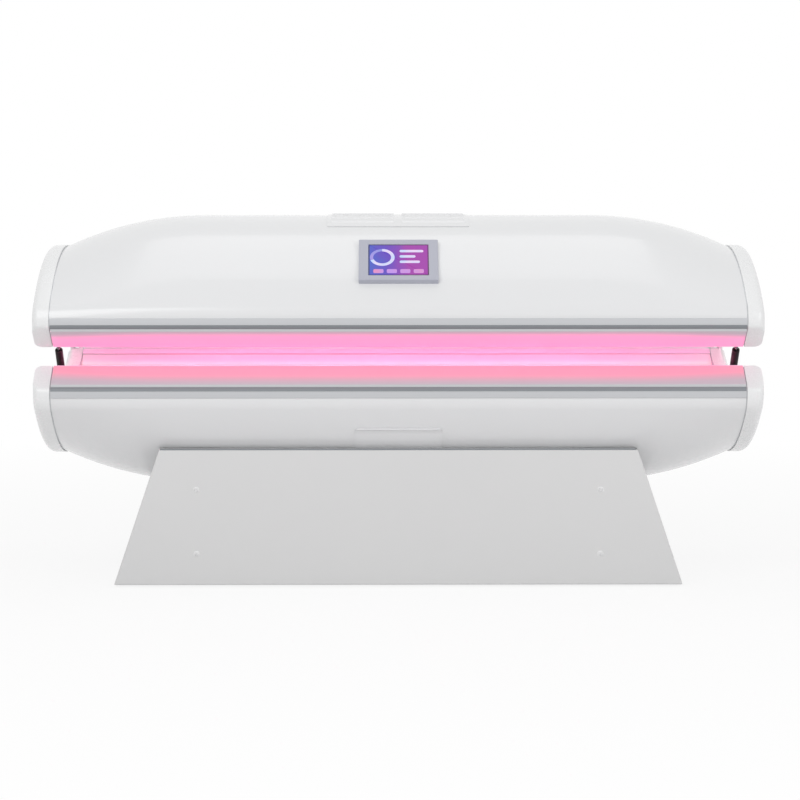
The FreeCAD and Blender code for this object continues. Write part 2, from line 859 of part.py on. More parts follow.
def spring_slots():
    """Cutters for the rod through the canopy cap and the cylinder through the base cap, both as canopy."""
    edge = nose_rise + lens_rise
    rod_reach = rod_diameter / 2 / spring_along.z + rod_slot_room
    rod_slot = cap_cut(spring_y_at(edge) - rod_reach, spring_y_at(edge) + rod_reach, edge + 2 * cap_wall)
    cylinder_reach = cylinder_diameter / 2 / spring_along.z + cylinder_slot_room
    cylinder_slot = cap_cut(spring_y_at(-edge + 2 * cap_wall) - cylinder_reach,
                            spring_base_place + cylinder_reach, edge + 2 * cap_wall)
    return rod_slot, cylinder_slot


def spring_eye(center):
    """Round eye about a pivot, without its bore."""
    low = center - X_AXIS * (eye_thickness / 2)
    return round_bar(eye_diameter, low, X_AXIS, eye_thickness)


def eye_bore(center):
    """Cutter for an eye's bore."""
    low = center - X_AXIS * eye_thickness
    return round_bar(stud_diameter + 2 * running_gap, low, X_AXIS, 2 * eye_thickness)


def spring_cylinder():
    """Right-hand cylinder with its closed lower end, eye and rod guide."""
    start = eye_diameter / 2 - overlap
    tube = round_bar(cylinder_diameter, along_spring(start), spring_along, cylinder_length - start)
    bore_low = start + cylinder_end_wall
    guide_low = cylinder_length - cylinder_guide
    bore = round_bar(cylinder_bore, along_spring(bore_low), spring_along, guide_low - bore_low)
    guide = round_bar(rod_diameter + 2 * running_gap, along_spring(guide_low), spring_along, cylinder_guide)
    body = tube.fuse(spring_eye(spring_base)).cut(bore).cut(guide).cut(eye_bore(spring_base))
    return one_solid(body)


def spring_rod():
    """Right-hand rod with its piston and upper eye."""
    piston_low = eye_diameter / 2 - overlap + cylinder_end_wall + piston_rest
    piston = round_bar(cylinder_bore - 2 * running_gap, along_spring(piston_low), spring_along, piston_height)
    rod = round_bar(rod_diameter, along_spring(piston_low), spring_along,
                    spring_length - piston_low - eye_diameter / 2 + overlap)
    rod = rod.fuse([piston, spring_eye(spring_top)])
    return one_solid(rod.cut(eye_bore(spring_top)))


def spring_stud(center, reach):
    """Stud with its round flange on the end frame, out to a place along X."""
    flange = crossbar(stud_flange_diameter, cap_inner, cap_inner + stud_flange, center.y,
                      center.z - split_height)
    pin = crossbar(stud_diameter, cap_inner, reach, center.y, center.z - split_height)
    return one_solid(flange.fuse(pin))


# Rear shield

def rear_shield():
    """Angle on the base's rear rail that closes the rear gap."""
    low_y = nose_place + shield_setback
    high_y = low_y + shield_foot
    lift = shield_sheet
    outline = [
        (low_y, -slope_rise(low_y)),
        (high_y, -slope_rise(high_y)),
        (high_y, -slope_rise(high_y) + lift),
        (low_y + shield_sheet, -slope_rise(low_y + shield_sheet) + lift),
        (low_y + shield_sheet, shield_rise),
        (low_y, shield_rise),
    ]
    return prism(outline, -skin_end, skin_end)


# Stand

def trapezoid(top_half, bottom_half, top, bottom, y_low, y_high):
    """Upright panel block with sloping sides."""
    corners = [
        FreeCAD.Vector(-bottom_half, y_low, bottom),
        FreeCAD.Vector(bottom_half, y_low, bottom),
        FreeCAD.Vector(top_half, y_low, top),
        FreeCAD.Vector(-top_half, y_low, top),
    ]
    face = Part.Face(Part.makePolygon(corners + corners[:1]))
    return face.extrude(FreeCAD.Vector(0, y_high - y_low, 0))


panel_top = skin_underside(panel_face - panel_return) - panel_gap
panel_screw_heights = (panel_bottom + panel_screw_above_bottom, panel_top - panel_screw_below_top)
panel_slope = (panel_bottom_half - panel_top_half) / (panel_top - panel_bottom)
panel_side_wall = panel_sheet * math.hypot(1.0, panel_slope)


def stand_panel():
    """Front panel: a sheet with its four edges folded back."""
    y_front = -panel_face
    outer = trapezoid(panel_top_half, panel_bottom_half, panel_top, panel_bottom,
                      y_front, y_front + panel_return)
    top = panel_top - panel_sheet
    bottom = panel_bottom + panel_sheet
    top_half = panel_top_half + panel_slope * panel_sheet - panel_side_wall
    bottom_half = panel_bottom_half - panel_slope * panel_sheet - panel_side_wall
    inner = trapezoid(top_half, bottom_half, top, bottom, y_front + panel_sheet, y_front + panel_return)
    panel = outer.cut(inner)
    for x, z in panel_screw_spots():
        panel = panel.cut(round_bar(screw_diameter, FreeCAD.Vector(x, y_front, z), Y_AXIS, panel_sheet))
    return one_solid(panel)


def panel_screw_spots():
    """(x, z) of the panel's screws."""
    return [(side * leg_place, height) for side in (-1, 1) for height in panel_screw_heights]


def panel_screw(x, z):
    """Front panel screw, into the post behind."""
    face = FreeCAD.Vector(x, -panel_face - screw_head_height, z)
    head = round_bar(screw_head_diameter, face, Y_AXIS, screw_head_height)
    shank_start = FreeCAD.Vector(x, -panel_face - overlap, z)
    shank = round_bar(screw_diameter - 2 * running_gap, shank_start, Y_AXIS, post_depth / 2)
    return one_solid(head.fuse(shank))


def side_panel():
    """Right-hand sloping sheet between the front and rear panels, cut to the base skin."""
    depth = panel_face - panel_return
    corners = [
        FreeCAD.Vector(panel_bottom_half, -depth, panel_bottom),
        FreeCAD.Vector(panel_top_half, -depth, panel_top),
        FreeCAD.Vector(panel_top_half - panel_side_wall, -depth, panel_top),
        FreeCAD.Vector(panel_bottom_half - panel_side_wall, -depth, panel_bottom),
    ]
    face = Part.Face(Part.makePolygon(corners + corners[:1]))
    sheet = face.extrude(FreeCAD.Vector(0, 2 * depth, 0))
    return one_solid(sheet.cut(to_base(skin_block(-panel_sheet, crease_rise + rail_wall))))


def base_cylinder(lift):
    """Round block of the base skin's straight middle, grown by a lift, along the whole leg."""
    radius, center = crown_arc(mid_crown)
    start = point(leg_place - leg_width, 0, -center)
    return round_bar(2 * (radius + lift), start, X_AXIS, 2 * leg_width)


def leg_parts():
    """Right-hand leg: a saddle under the skin and two posts."""
    x_low = leg_place - leg_width / 2
    x_high = leg_place + leg_width / 2
    low = floor_bar_bottom + floor_bar_height
    under = base_cylinder(saddle_gap + saddle_thickness)
    whole = block(x_low, x_high, -saddle_half_depth, saddle_half_depth, low, split_height - hem_rise)
    saddle = whole.common(under).cut(base_cylinder(saddle_gap))
    outer_face = panel_face - panel_sheet
    posts = []
    for side in (-1, 1):
        y_low = min(side * outer_face, side * (outer_face - post_depth))
        y_high = y_low + post_depth
        top = panel_top - panel_return
        post = block(x_low, x_high, y_low, y_high, low, top)
        post = post.cut(block(x_low + stand_wall, x_high - stand_wall, y_low + stand_wall,
                              y_high - stand_wall, low, top))
        post = post.cut(under)
        for height in panel_screw_heights:
            start = FreeCAD.Vector(leg_place, side * outer_face, height)
            hole = round_bar(screw_diameter, start, Y_AXIS * -side, post_depth / 2)
            post = post.cut(hole)
        posts.append(one_solid(post))
    return [one_solid(saddle)] + posts


def floor_frame():
    """Two floor bars under the posts and two beams between them, with holes for the feet."""
    x_low = leg_place - leg_width / 2
    x_high = leg_place + leg_width / 2
    low = floor_bar_bottom
    high = low + floor_bar_height
    reach = panel_face - panel_sheet
    right = block(x_low, x_high, -reach, reach, low, high)
    right = right.cut(block(x_low + stand_wall, x_high - stand_wall, -reach, reach,
                            low + stand_wall, high - stand_wall))
    for side in (-1, 1):
        spot = FreeCAD.Vector(leg_place, side * foot_place, low)
        right = right.cut(round_bar(foot_stem_diameter + 2 * running_gap, spot, Z_AXIS, floor_bar_height / 2))
    beams = []
    for side in (-1, 1):
        y_low = side * foot_place - cross_beam_depth / 2
        y_high = y_low + cross_beam_depth
        beam = block(-x_low, x_low, y_low, y_high, low, high)
        beams.append(beam.cut(block(-x_low, x_low, y_low + stand_wall, y_high - stand_wall,
                                    low + stand_wall, high - stand_wall)))
    return [right, to_left(right)] + beams


def foot_at(x, y):
    """Levelling foot with its stem in the floor bar."""
    pad = round_bar(foot_diameter, FreeCAD.Vector(x, y, 0), Z_AXIS, foot_pad)
    stem_length = floor_bar_bottom - foot_pad + floor_bar_height / 2
    stem = round_bar(foot_stem_diameter, FreeCAD.Vector(x, y, foot_pad), Z_AXIS, stem_length)
    nut = round_bar(foot_stem_diameter * 2, FreeCAD.Vector(x, y, foot_pad), Z_AXIS,
                    floor_bar_bottom - foot_pad)
    return one_solid(pad.fuse([stem, nut]))


# Power entry

inlet_front = panel_face + inlet_flange


def power_box():
    """Hollow box for the mains parts on the rear floor beam, with a cable hole in its rear wall."""
    low = floor_bar_bottom + floor_bar_height
    high = low + power_box_height
    half = power_box_length / 2
    y_high = foot_place + cross_beam_depth / 2
    y_low = y_high - power_box_depth
    box = block(-half, half, y_low, y_high, low, high)
    inside = block(-half + panel_sheet, half - panel_sheet, y_low + panel_sheet, y_high - panel_sheet,
                   low + panel_sheet, high - panel_sheet)
    cable_hole = block(inlet_place - inlet_tall / 2, inlet_place + inlet_tall / 2, y_high - panel_sheet,
                       y_high, inlet_height - inlet_tall / 2, inlet_height)
    return one_solid(box.cut(inside).cut(cable_hole))


def inlet_cutout(grow):
    """Block of the inlet's body through the rear panel, grown by an amount."""
    half = inlet_length / 2 - inlet_flange - side_gap + grow
    tall = inlet_tall / 2 - inlet_flange - side_gap + grow
    inner = panel_face - panel_sheet - inlet_body_depth
    return block(inlet_place - half, inlet_place + half, inner, panel_face, inlet_height - tall,
                 inlet_height + tall)


rocker_x = inlet_place + rocker_offset
rocker_axle_y = inlet_front - rocker_depth / 2


def power_inlet():
    """Mains inlet and switch frame in one moulding on the rear panel."""
    half = inlet_length / 2
    tall = inlet_tall / 2
    flange = block(inlet_place - half, inlet_place + half, panel_face, inlet_front,
                   inlet_height - tall, inlet_height + tall)
    inlet = flange.fuse(inlet_cutout(0.0))
    socket_x = inlet_place - rocker_offset
    socket = block(socket_x - socket_length / 2, socket_x + socket_length / 2, inlet_front - socket_depth,
                   inlet_front, inlet_height - socket_tall / 2, inlet_height + socket_tall / 2)
    pins = []
    for offset, rise in socket_pin_spots:
        low = inlet_front - socket_depth
        pin_x = socket_x + offset
        pin_z = inlet_height + rise
        pins.append(block(pin_x - socket_pin_width / 2, pin_x + socket_pin_width / 2, low,
                          low + socket_pin_length, pin_z - socket_pin_tall / 2, pin_z + socket_pin_tall / 2))
    well = block(rocker_x - rocker_length / 2 - side_gap, rocker_x + rocker_length / 2 + side_gap,
                 inlet_front - 2 * rocker_depth, inlet_front,
                 inlet_height - rocker_tall / 2 - side_gap, inlet_height + rocker_tall / 2 + side_gap)
    axle_half = rocker_tall / 2 + 2 * side_gap + overlap
    axle_start = FreeCAD.Vector(rocker_x, rocker_axle_y, inlet_height - axle_half)
    axle = round_bar(rocker_axle_diameter, axle_start, Z_AXIS, 2 * axle_half)
    return one_solid(inlet.cut(socket.cut(Part.makeCompound(pins))).cut(well.cut(axle)))


def switch_rocker():
    """Rocker on its axle, tilted to its off side, with a ridge between its two faces."""
    half = rocker_length / 2
    back = rocker_axle_y - rocker_depth / 2
    ridge = inlet_front - side_gap
    corners = [
        FreeCAD.Vector(rocker_x - half + side_gap, back + rocker_ridge / 2, 0),
        FreeCAD.Vector(rocker_x, back, 0),
        FreeCAD.Vector(rocker_x + half - side_gap, back + rocker_ridge / 2, 0),
        FreeCAD.Vector(rocker_x + half - side_gap, ridge - rocker_ridge, 0),
        FreeCAD.Vector(rocker_x, ridge, 0),
        FreeCAD.Vector(rocker_x - half + side_gap, ridge - rocker_ridge, 0),
    ]
    face = Part.Face(Part.makePolygon(corners + corners[:1]))
    rocker = face.extrude(FreeCAD.Vector(0, 0, rocker_tall))
    rocker.translate(FreeCAD.Vector(0, 0, inlet_height - rocker_tall / 2))
    rocker.rotate(FreeCAD.Vector(rocker_x, rocker_axle_y, 0), Z_AXIS, -rocker_tilt)
    start = FreeCAD.Vector(rocker_x, rocker_axle_y, inlet_height - rocker_tall)
    bore = round_bar(rocker_axle_diameter + 2 * running_gap, start, Z_AXIS, 2 * rocker_tall)
    return one_solid(rocker.cut(bore))


def both_ends(shape):
    """A right-hand piece and its left-hand mirror image."""
    return [shape, to_left(shape)]


def build():
    """Make and write every node."""
    os.makedirs("parts", exist_ok=True)
    skin = skin_shell().cut(vent_opening())
    canopy_skin = one_solid(skin.cut(screen_opening()))
    cover_opening = mid_arc_opening(cover_low_angle + arc_angle(cover_margin),
                                    cover_high_angle - arc_angle(cover_margin),
                                    cover_length / 2 - cover_margin)
    base_skin = to_base(one_solid(skin.cut(cover_opening)))
    save("canopy_shell", canopy_skin)
    save("base_shell", base_skin)

    cap = end_cap()
    hinge_half = hinge_post_depth / 2 + slot_gap
    hinge_slot = cap_cut(hinge_place - hinge_half, hinge_place + hinge_half, crease_rise)
    rod_slot, cylinder_slot = spring_slots()
    canopy_cap = one_solid(cap.cut(hinge_slot).cut(rod_slot))
    base_cap = to_base(one_solid(cap.cut(hinge_slot).cut(cylinder_slot)))
    save("canopy_end_cap_right", canopy_cap)
    save("canopy_end_cap_left", to_left(canopy_cap))
    save("base_end_cap_right", base_cap)
    save("base_end_cap_left", to_left(base_cap))

    rail = front_rail()
    seal = front_seal()
    shared = {
        "rails": [rail, to_rear(rail)],
        "seals": [seal, to_rear(seal)],
        "end_frames": both_ends(end_frame()),
        "acrylic": [acrylic_sheet()],
        "led_tray": [board_tray()],
        "led_boards": led_boards(),
        "frame_tubes": frame_tubes(),
        "drivers": drivers(),
        "fan_frames": [fan_frame(-fan_place), fan_frame(fan_place)],
        "fan_rotor_left": [fan_rotor(-fan_place)],
        "fan_rotor_right": [fan_rotor(fan_place)],
        "fan_bracket": [fan_bracket()],
        "vent_grille": [vent_grille()],
        "cap_screws": [piece for y, rise in cap_screw_places for piece in both_ends(screw_at(y, rise))],
    }
    for name, pieces in shared.items():
        save(f"canopy_{name}", *pieces)
        save(f"base_{name}", *[to_base(piece) for piece in pieces])

    save("screen_bezel", screen_bezel())
    save("screen_glass", screen_glass())
    save("screen_housing", screen_housing())
    cover = mid_arc_sheet(cover_low_angle, cover_high_angle, cover_length / 2, seat_gap, cover_sheet)
    save("access_cover", to_base(cover))

    save("hinge_posts", *both_ends(hinge_post()))
    save("hinge_pins", *both_ends(hinge_pin()))
    save("hinge_arms", *both_ends(hinge_arm()))
    save("hinge_bushes", *both_ends(hinge_bush()))
    save("rear_light_shield", rear_shield())

    lower_reach = spring_x + eye_thickness / 2 + stud_end
    upper_reach = spring_x - eye_thickness / 2 - side_gap
    save("lower_spring_studs", *both_ends(spring_stud(spring_base, lower_reach)))
    save("upper_spring_studs", *both_ends(spring_stud(spring_top, upper_reach)))
    save("spring_cylinder_right", spring_cylinder())
    save("spring_cylinder_left", to_left(spring_cylinder()))
    save("spring_rod_right", spring_rod())
    save("spring_rod_left", to_left(spring_rod()))

    panel = stand_panel()
    save("stand_front_panel", panel)
    save("stand_rear_panel", to_rear(panel).cut(inlet_cutout(side_gap)))
    save("stand_side_panels", *both_ends(side_panel()))
    save("stand_legs", *[piece for part in leg_parts() for piece in both_ends(part)])
    save("stand_floor_frame", *floor_frame())
    feet = [foot_at(x * leg_place, y * foot_place) for x in (-1, 1) for y in (-1, 1)]
    save("stand_feet", *feet)
    screws = [panel_screw(x, z) for x, z in panel_screw_spots()]
    save("panel_screws", *screws, *[to_rear(screw) for screw in screws])
    save("power_box", power_box())
    save("power_inlet", power_inlet())
    save("switch_rocker", switch_rocker())


build()
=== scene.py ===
import json
import math
import bmesh
import bpy
from mathutils import Matrix, Vector


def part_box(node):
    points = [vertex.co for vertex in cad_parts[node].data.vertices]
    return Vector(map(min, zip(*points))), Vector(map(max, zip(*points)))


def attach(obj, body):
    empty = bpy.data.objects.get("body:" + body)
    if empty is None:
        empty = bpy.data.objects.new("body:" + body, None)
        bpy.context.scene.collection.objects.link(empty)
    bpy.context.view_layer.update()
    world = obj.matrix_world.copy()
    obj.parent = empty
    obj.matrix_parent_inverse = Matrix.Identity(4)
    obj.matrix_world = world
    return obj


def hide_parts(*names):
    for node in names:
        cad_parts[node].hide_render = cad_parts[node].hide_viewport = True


# Looks of a clamshell light bed: white gloss skins, silver rails, a pink-lit tunnel and a touch screen.
# Metres, +X along the bed, +Y to the rear, +Z up. Each half is drawn as a rise above the split plane.

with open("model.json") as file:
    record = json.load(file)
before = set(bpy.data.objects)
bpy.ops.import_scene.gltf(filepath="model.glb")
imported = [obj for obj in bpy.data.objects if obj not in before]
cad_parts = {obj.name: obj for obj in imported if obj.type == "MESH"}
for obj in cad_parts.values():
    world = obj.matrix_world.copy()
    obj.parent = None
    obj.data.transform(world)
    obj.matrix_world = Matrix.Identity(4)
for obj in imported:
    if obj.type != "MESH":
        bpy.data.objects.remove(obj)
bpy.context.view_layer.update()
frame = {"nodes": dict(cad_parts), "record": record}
scene = bpy.context.scene
scene.view_settings.view_transform = "Standard"

record = frame["record"]
body_of = {node: body for body, nodes in record["behaviour"]["bodies"].items() for node in nodes}
slot_of = {row["node"]: row["material_slot"] for row in record["subparts"]}

X = Vector((1, 0, 0))
Y = Vector((0, 1, 0))
Z = Vector((0, 0, 1))

# Distances under which corners are welded, and under which places count as the same
weld = 1e-6
hair = 1e-4
# Share of a unit normal from which a face counts as facing an axis
facing = 0.995

# Both halves
split = 0.642
half_length = 1.000
half_depth = 0.450
skin_end = 0.950
crease = 0.085
hem = 0.128
end_crown = 0.295
mid_crown = 0.384
knee_radius = 0.060
flat_half = 0.555
nose_place = 0.370
nose = 0.026
skin_wall = 0.004
flange_wall = 0.003
hem_place = half_depth - flange_wall
dome_steps = 14
knee_steps = 8
crown_steps = 48


# Shader nodes

def feed(tree, socket, term):
    """Link a node's output to a socket, or set the socket to a plain value."""
    if isinstance(term, bpy.types.NodeSocket):
        tree.links.new(term, socket)
    elif socket.type == "RGBA":
        socket.default_value = (*term, 1)
    else:
        socket.default_value = term


def feed_in_order(tree, node, *terms):
    """Feed a node's first inputs."""
    for socket, term in zip(node.inputs, terms):
        feed(tree, socket, term)


def set_inputs(tree, node, **inputs):
    """Feed a node's inputs by name, with _ for a space; the node."""
    for label, term in inputs.items():
        feed(tree, node.inputs[label.replace("_", " ")], term)
    return node


def add_node(tree, kind, **inputs):
    """New shader node with its inputs fed."""
    return set_inputs(tree, tree.nodes.new(f"ShaderNode{kind}"), **inputs)


def add_group(tree, group, **inputs):
    """New node that uses a shader node group; its outputs."""
    node = tree.nodes.new("ShaderNodeGroup")
    node.node_tree = group
    return set_inputs(tree, node, **inputs).outputs


def reckon(tree, operation, *terms):
    """Output of a math node."""
    node = tree.nodes.new("ShaderNodeMath")
    node.operation = operation
    feed_in_order(tree, node, *terms)
    return node.outputs[0]


def graded(tree, value, start, end, low=0.0, high=1.0, curve="SMOOTHSTEP"):
    """Output that goes from low to high as a value goes from start to end."""
    node = add_node(tree, "MapRange", Value=value, From_Min=start, From_Max=end, To_Min=low, To_Max=high)
    node.interpolation_type = curve
    return node.outputs["Result"]


def color_ramp(tree, value, *stops):
    """Colour that a value picks between stops, each a place and a colour."""
    node = add_node(tree, "ValToRGB", Fac=value)
    elements = node.color_ramp.elements
    for index in (0, -1):
        place, color = stops[index]
        elements[index].position = place
        elements[index].color = (*color, 1)
    for place, color in stops[1:-1]:
        elements.new(place).color = (*color, 1)
    return node.outputs["Color"]


def object_place(tree):
    """Place on the object."""
    return tree.nodes.new("ShaderNodeTexCoord").outputs["Object"]


def object_axes(tree):
    """Place on the object as separate X, Y and Z."""
    return add_node(tree, "SeparateXYZ", Vector=object_place(tree)).outputs


def shader_group(name, inputs, outputs):
    """Shader node group with named sockets: its tree, its entry's outputs and its exit."""
    group = bpy.data.node_groups.new(name, "ShaderNodeTree")
    for way, sockets in (("INPUT", inputs), ("OUTPUT", outputs)):
        for label, kind in sockets.items():
            group.interface.new_socket(label, in_out=way, socket_type=f"NodeSocket{kind}")
    entry = group.nodes.new("NodeGroupInput")
    leave = group.nodes.new("NodeGroupOutput")
    return group, entry.outputs, leave


blend_share = 0.5
blend_ends = (0.3, 0.7)


def surface_grain():
    """Cloudy tint and gloss with a fine grain along the way a surface was worked."""
    inputs = {"Color": "Color", "Shade": "Color", "Stretch": "Vector", "Patch Scale": "Float",
              "Grain Scale": "Float", "Smooth": "Float", "Matt": "Float"}
    outputs = {"Color": "Color", "Roughness": "Float", "Height": "Float"}
    group, entry, leave = shader_group("surface_grain", inputs, outputs)
    place = object_place(group)
    worked = add_node(group, "Mapping", Vector=place, Scale=entry["Stretch"]).outputs["Vector"]
    patch = add_node(group, "TexNoise", Vector=place, Scale=entry["Patch Scale"], Detail=4.0).outputs["Fac"]
    grain = add_node(group, "TexNoise", Vector=worked, Scale=entry["Grain Scale"], Detail=2.0).outputs["Fac"]
    blend = reckon(group, "MULTIPLY_ADD", patch, blend_share, reckon(group, "MULTIPLY", grain, blend_share))
    gloss = graded(group, blend, *blend_ends, entry["Smooth"], entry["Matt"], curve="LINEAR")
    tint = group.nodes.new("ShaderNodeMix")
    tint.data_type = "RGBA"
    set_inputs(group, tint, Factor=blend, A=entry["Color"], B=entry["Shade"])
    set_inputs(group, leave, Color=tint.outputs["Result"], Roughness=gloss, Height=grain)
    return group


def pebble_grain():
    """Small rounded pebbles of a powder coat or a moulded rubber face."""
    group, entry, leave = shader_group("pebble_grain", {"Pebble Scale": "Float"}, {"Height": "Float"})
    pebbles = add_node(group, "TexVoronoi", Vector=object_place(group), Scale=entry["Pebble Scale"])
    pebbles.feature = "SMOOTH_F1"
    set_inputs(group, leave, Height=pebbles.outputs["Distance"])
    return group


# Finishes

grain_group = surface_grain()
pebble_group = pebble_grain()
drift_ends = (0.35, 0.65)
along_x = (0.02, 1, 1)


def new_finish(name, **inputs):
    """New material with shader inputs fed: the material, its tree and its shader."""
    finish = bpy.data.materials.new(name)
    finish.use_nodes = True
    tree = finish.node_tree
    return finish, tree, set_inputs(tree, tree.nodes["Principled BSDF"], **inputs)


def worked_finish(name, color, shade, smooth, matt, metallic=0.0, stretch=(1, 1, 1), patch=3.0,
                  grain=300.0, relief=0.1, depth=0.0003, coat=0.0, pebbles=0.0, shine=0.5):
    """Material with a cloudy tint and gloss, and a grain or pebbles in relief."""
    finish, tree, shader = new_finish(name, Metallic=metallic, Specular_IOR_Level=shine,
                                      Coat_Weight=coat, Coat_Roughness=0.06)
    surface = add_group(tree, grain_group, Color=color, Shade=shade, Stretch=stretch, Patch_Scale=patch,
                        Grain_Scale=grain, Smooth=smooth, Matt=matt)
    height = surface["Height"]
    if pebbles:
        height = add_group(tree, pebble_group, Pebble_Scale=pebbles)["Height"]
    bump = add_node(tree, "Bump", Strength=relief, Distance=depth, Height=height)
    set_inputs(tree, shader, Base_Color=surface["Color"], Roughness=surface["Roughness"],
               Normal=bump.outputs["Normal"])
    return finish


def lit_finish(name, low, high, scale, strength, base, gloss):
    """Material that glows in a colour drifting between two tints."""
    finish, tree, shader = new_finish(name, Base_Color=base, Roughness=gloss, Emission_Strength=strength)
    drift = add_node(tree, "TexNoise", Vector=object_place(tree), Scale=scale).outputs["Fac"]
    set_inputs(tree, shader, Emission_Color=color_ramp(tree, drift, *zip(drift_ends, (low, high))))
    return finish


def paint_glow(finish, value, start, end):
    """Painted light in a finish, as a glow from one colour where a value is 0 to another where it is 1."""
    tree = finish.node_tree
    glow = color_ramp(tree, value, (0.0, start), (1.0, end))
    set_inputs(tree, tree.nodes["Principled BSDF"], Emission_Color=glow, Emission_Strength=1.0)


# By slot or use: tint, shade, gloss from and to, and what isn't as usual
rail_satin = ((0.45, 0.45, 0.46), (0.41, 0.41, 0.42), 0.36, 0.46,
              dict(stretch=along_x, patch=2, grain=900, relief=0.05, depth=0.0001))
surfaces = {
    "skin_white": ((0.8, 0.805, 0.815), (0.77, 0.775, 0.785), 0.16, 0.26,
                   dict(patch=2.5, grain=240, relief=0.05, coat=0.3)),
    "cap_white": ((0.85, 0.855, 0.86), (0.82, 0.825, 0.83), 0.22, 0.32,
                  dict(patch=4, grain=320, relief=0.06, coat=0.15)),
    "rail_silver": ((0.58, 0.59, 0.61), (0.53, 0.54, 0.56), 0.34, 0.44,
                    dict(metallic=0.35, stretch=along_x, patch=2, grain=900, relief=0.05, depth=0.0001)),
    "canopy_slope": rail_satin, "base_slope": rail_satin, "rail_lip": rail_satin,
    # Dark grey for the band round the rails' crease and for the front panel's top strip: painted shade
    "painted_shade_band": ((0.265, 0.285, 0.305), (0.21, 0.225, 0.24), 0.35, 0.5, dict(stretch=along_x, grain=500)),
    "frame_steel": ((0.58, 0.59, 0.6), (0.48, 0.49, 0.51), 0.34, 0.5, dict(metallic=1, patch=18, grain=500)),
    "seal_rubber": ((0.55, 0.54, 0.55), (0.5, 0.49, 0.5), 0.45, 0.6, dict(patch=8, pebbles=900, relief=0.2)),
    "acrylic_clear": ((0.86, 0.8, 0.84), (0.83, 0.77, 0.81), 0.03, 0.08, dict(grain=60, relief=0.02)),
    "tray_aluminium": ((0.8, 0.8, 0.81), (0.72, 0.72, 0.74), 0.3, 0.42,
                       dict(metallic=1, stretch=along_x, grain=700)),
    "diode_case": ((0.85, 0.83, 0.8), (0.78, 0.76, 0.74), 0.35, 0.5, dict(patch=60)),
    "driver_metal": ((0.42, 0.43, 0.44), (0.34, 0.35, 0.36), 0.4, 0.55,
                     dict(metallic=0.9, patch=14, pebbles=700, relief=0.2)),
    "fan_black": ((0.025, 0.026, 0.028), (0.018, 0.018, 0.02), 0.35, 0.5, dict(patch=20, grain=600)),
    "bezel_grey": ((0.45, 0.46, 0.53), (0.41, 0.42, 0.49), 0.32, 0.42,
                   dict(patch=10, grain=900, relief=0.08)),
    "spring_black": ((0.012, 0.007, 0.009), (0.008, 0.005, 0.006), 0.4, 0.52,
                     dict(patch=16, grain=500, shine=0.2)),
    "rod_chrome": ((0.2, 0.19, 0.2), (0.15, 0.145, 0.15), 0.14, 0.24,
                   dict(metallic=1, patch=20, grain=1200, relief=0.04)),
    "hinge_white": ((0.72, 0.72, 0.73), (0.68, 0.68, 0.69), 0.3, 0.42, dict(patch=8, pebbles=800)),
    "shield_white": ((0.84, 0.83, 0.84), (0.8, 0.79, 0.8), 0.3, 0.42,
                     dict(stretch=along_x, patch=5, grain=500)),
    "pin_steel": ((0.62, 0.62, 0.63), (0.52, 0.52, 0.54), 0.2, 0.32,
                  dict(metallic=1, stretch=(1, 0.05, 1), patch=20, grain=1500)),
    "bush_brass": ((0.72, 0.53, 0.24), (0.6, 0.43, 0.19), 0.25, 0.38, dict(metallic=1, patch=20, grain=1200)),
    "stand_grey": ((0.7, 0.7, 0.7), (0.675, 0.675, 0.678), 0.42, 0.52, dict(pebbles=650, relief=0.12)),
    "leg_black": ((0.035, 0.035, 0.037), (0.028, 0.028, 0.03), 0.45, 0.6,
                  dict(patch=6, pebbles=700, relief=0.15)),
    "screw_pale": ((0.86, 0.86, 0.865), (0.8, 0.8, 0.805), 0.2, 0.3, dict(patch=60, grain=900, coat=0.3)),
    "foot_rubber": ((0.03, 0.03, 0.03), (0.02, 0.02, 0.02), 0.6, 0.75,
                    dict(patch=12, pebbles=700, relief=0.25)),
    "inlet_black": ((0.03, 0.03, 0.032), (0.022, 0.022, 0.024), 0.38, 0.5,
                    dict(patch=20, pebbles=1100, relief=0.15)),
    "switch_red": ((0.5, 0.03, 0.025), (0.42, 0.02, 0.02), 0.2, 0.3, dict(patch=25, grain=700, coat=0.3)),
}
# By slot or use: two tints, scale of the drift, strength, base color and gloss
glows = {
    "board_white": ((1, 0.22, 0.44), (1, 0.28, 0.52), 3, 1.1, (0.82, 0.76, 0.79), 0.4),
    "diode_lens": ((1, 0.3, 0.52), (1, 0.38, 0.6), 60, 44, (0.9, 0.8, 0.8), 0.15),
    "faint_ring": ((0.2, 0.25, 0.75), (0.35, 0.25, 0.8), 40, 0.8, (0.05, 0.05, 0.08), 0.2),
    "bright_mark": ((0.45, 0.62, 0.95), (0.85, 0.6, 0.88), 30, 0.85, (0.1, 0.1, 0.1), 0.2),
    "pink_key": ((0.75, 0.2, 0.45), (0.45, 0.22, 0.8), 25, 0.85, (0.1, 0.06, 0.08), 0.2),
}
finishes = {use: worked_finish(use, *row, **rest) for use, (*row, rest) in surfaces.items()}
finishes.update({use: lit_finish(use, *row) for use, row in glows.items()})
# Nodes that don't look like the rest of their slot
own_use = {"rear_light_shield": "shield_white", "panel_screws": "screw_pale",
           "stand_legs": "leg_black", "stand_floor_frame": "leg_black"}

# Places from the middle where the acrylic's frost grows and where the painted light on the sheet fades at its
# edge
frost_start = 0.270
frost_full = 0.300
frost_cover = 0.9
glow_full = 0.298
glow_end = 0.317
painted_margin_light = (0.15, 0.12, 0.065)
no_glow = (0, 0, 0)
tilt_blend = 0.25
tilt_cover = (0.03, 0.18)


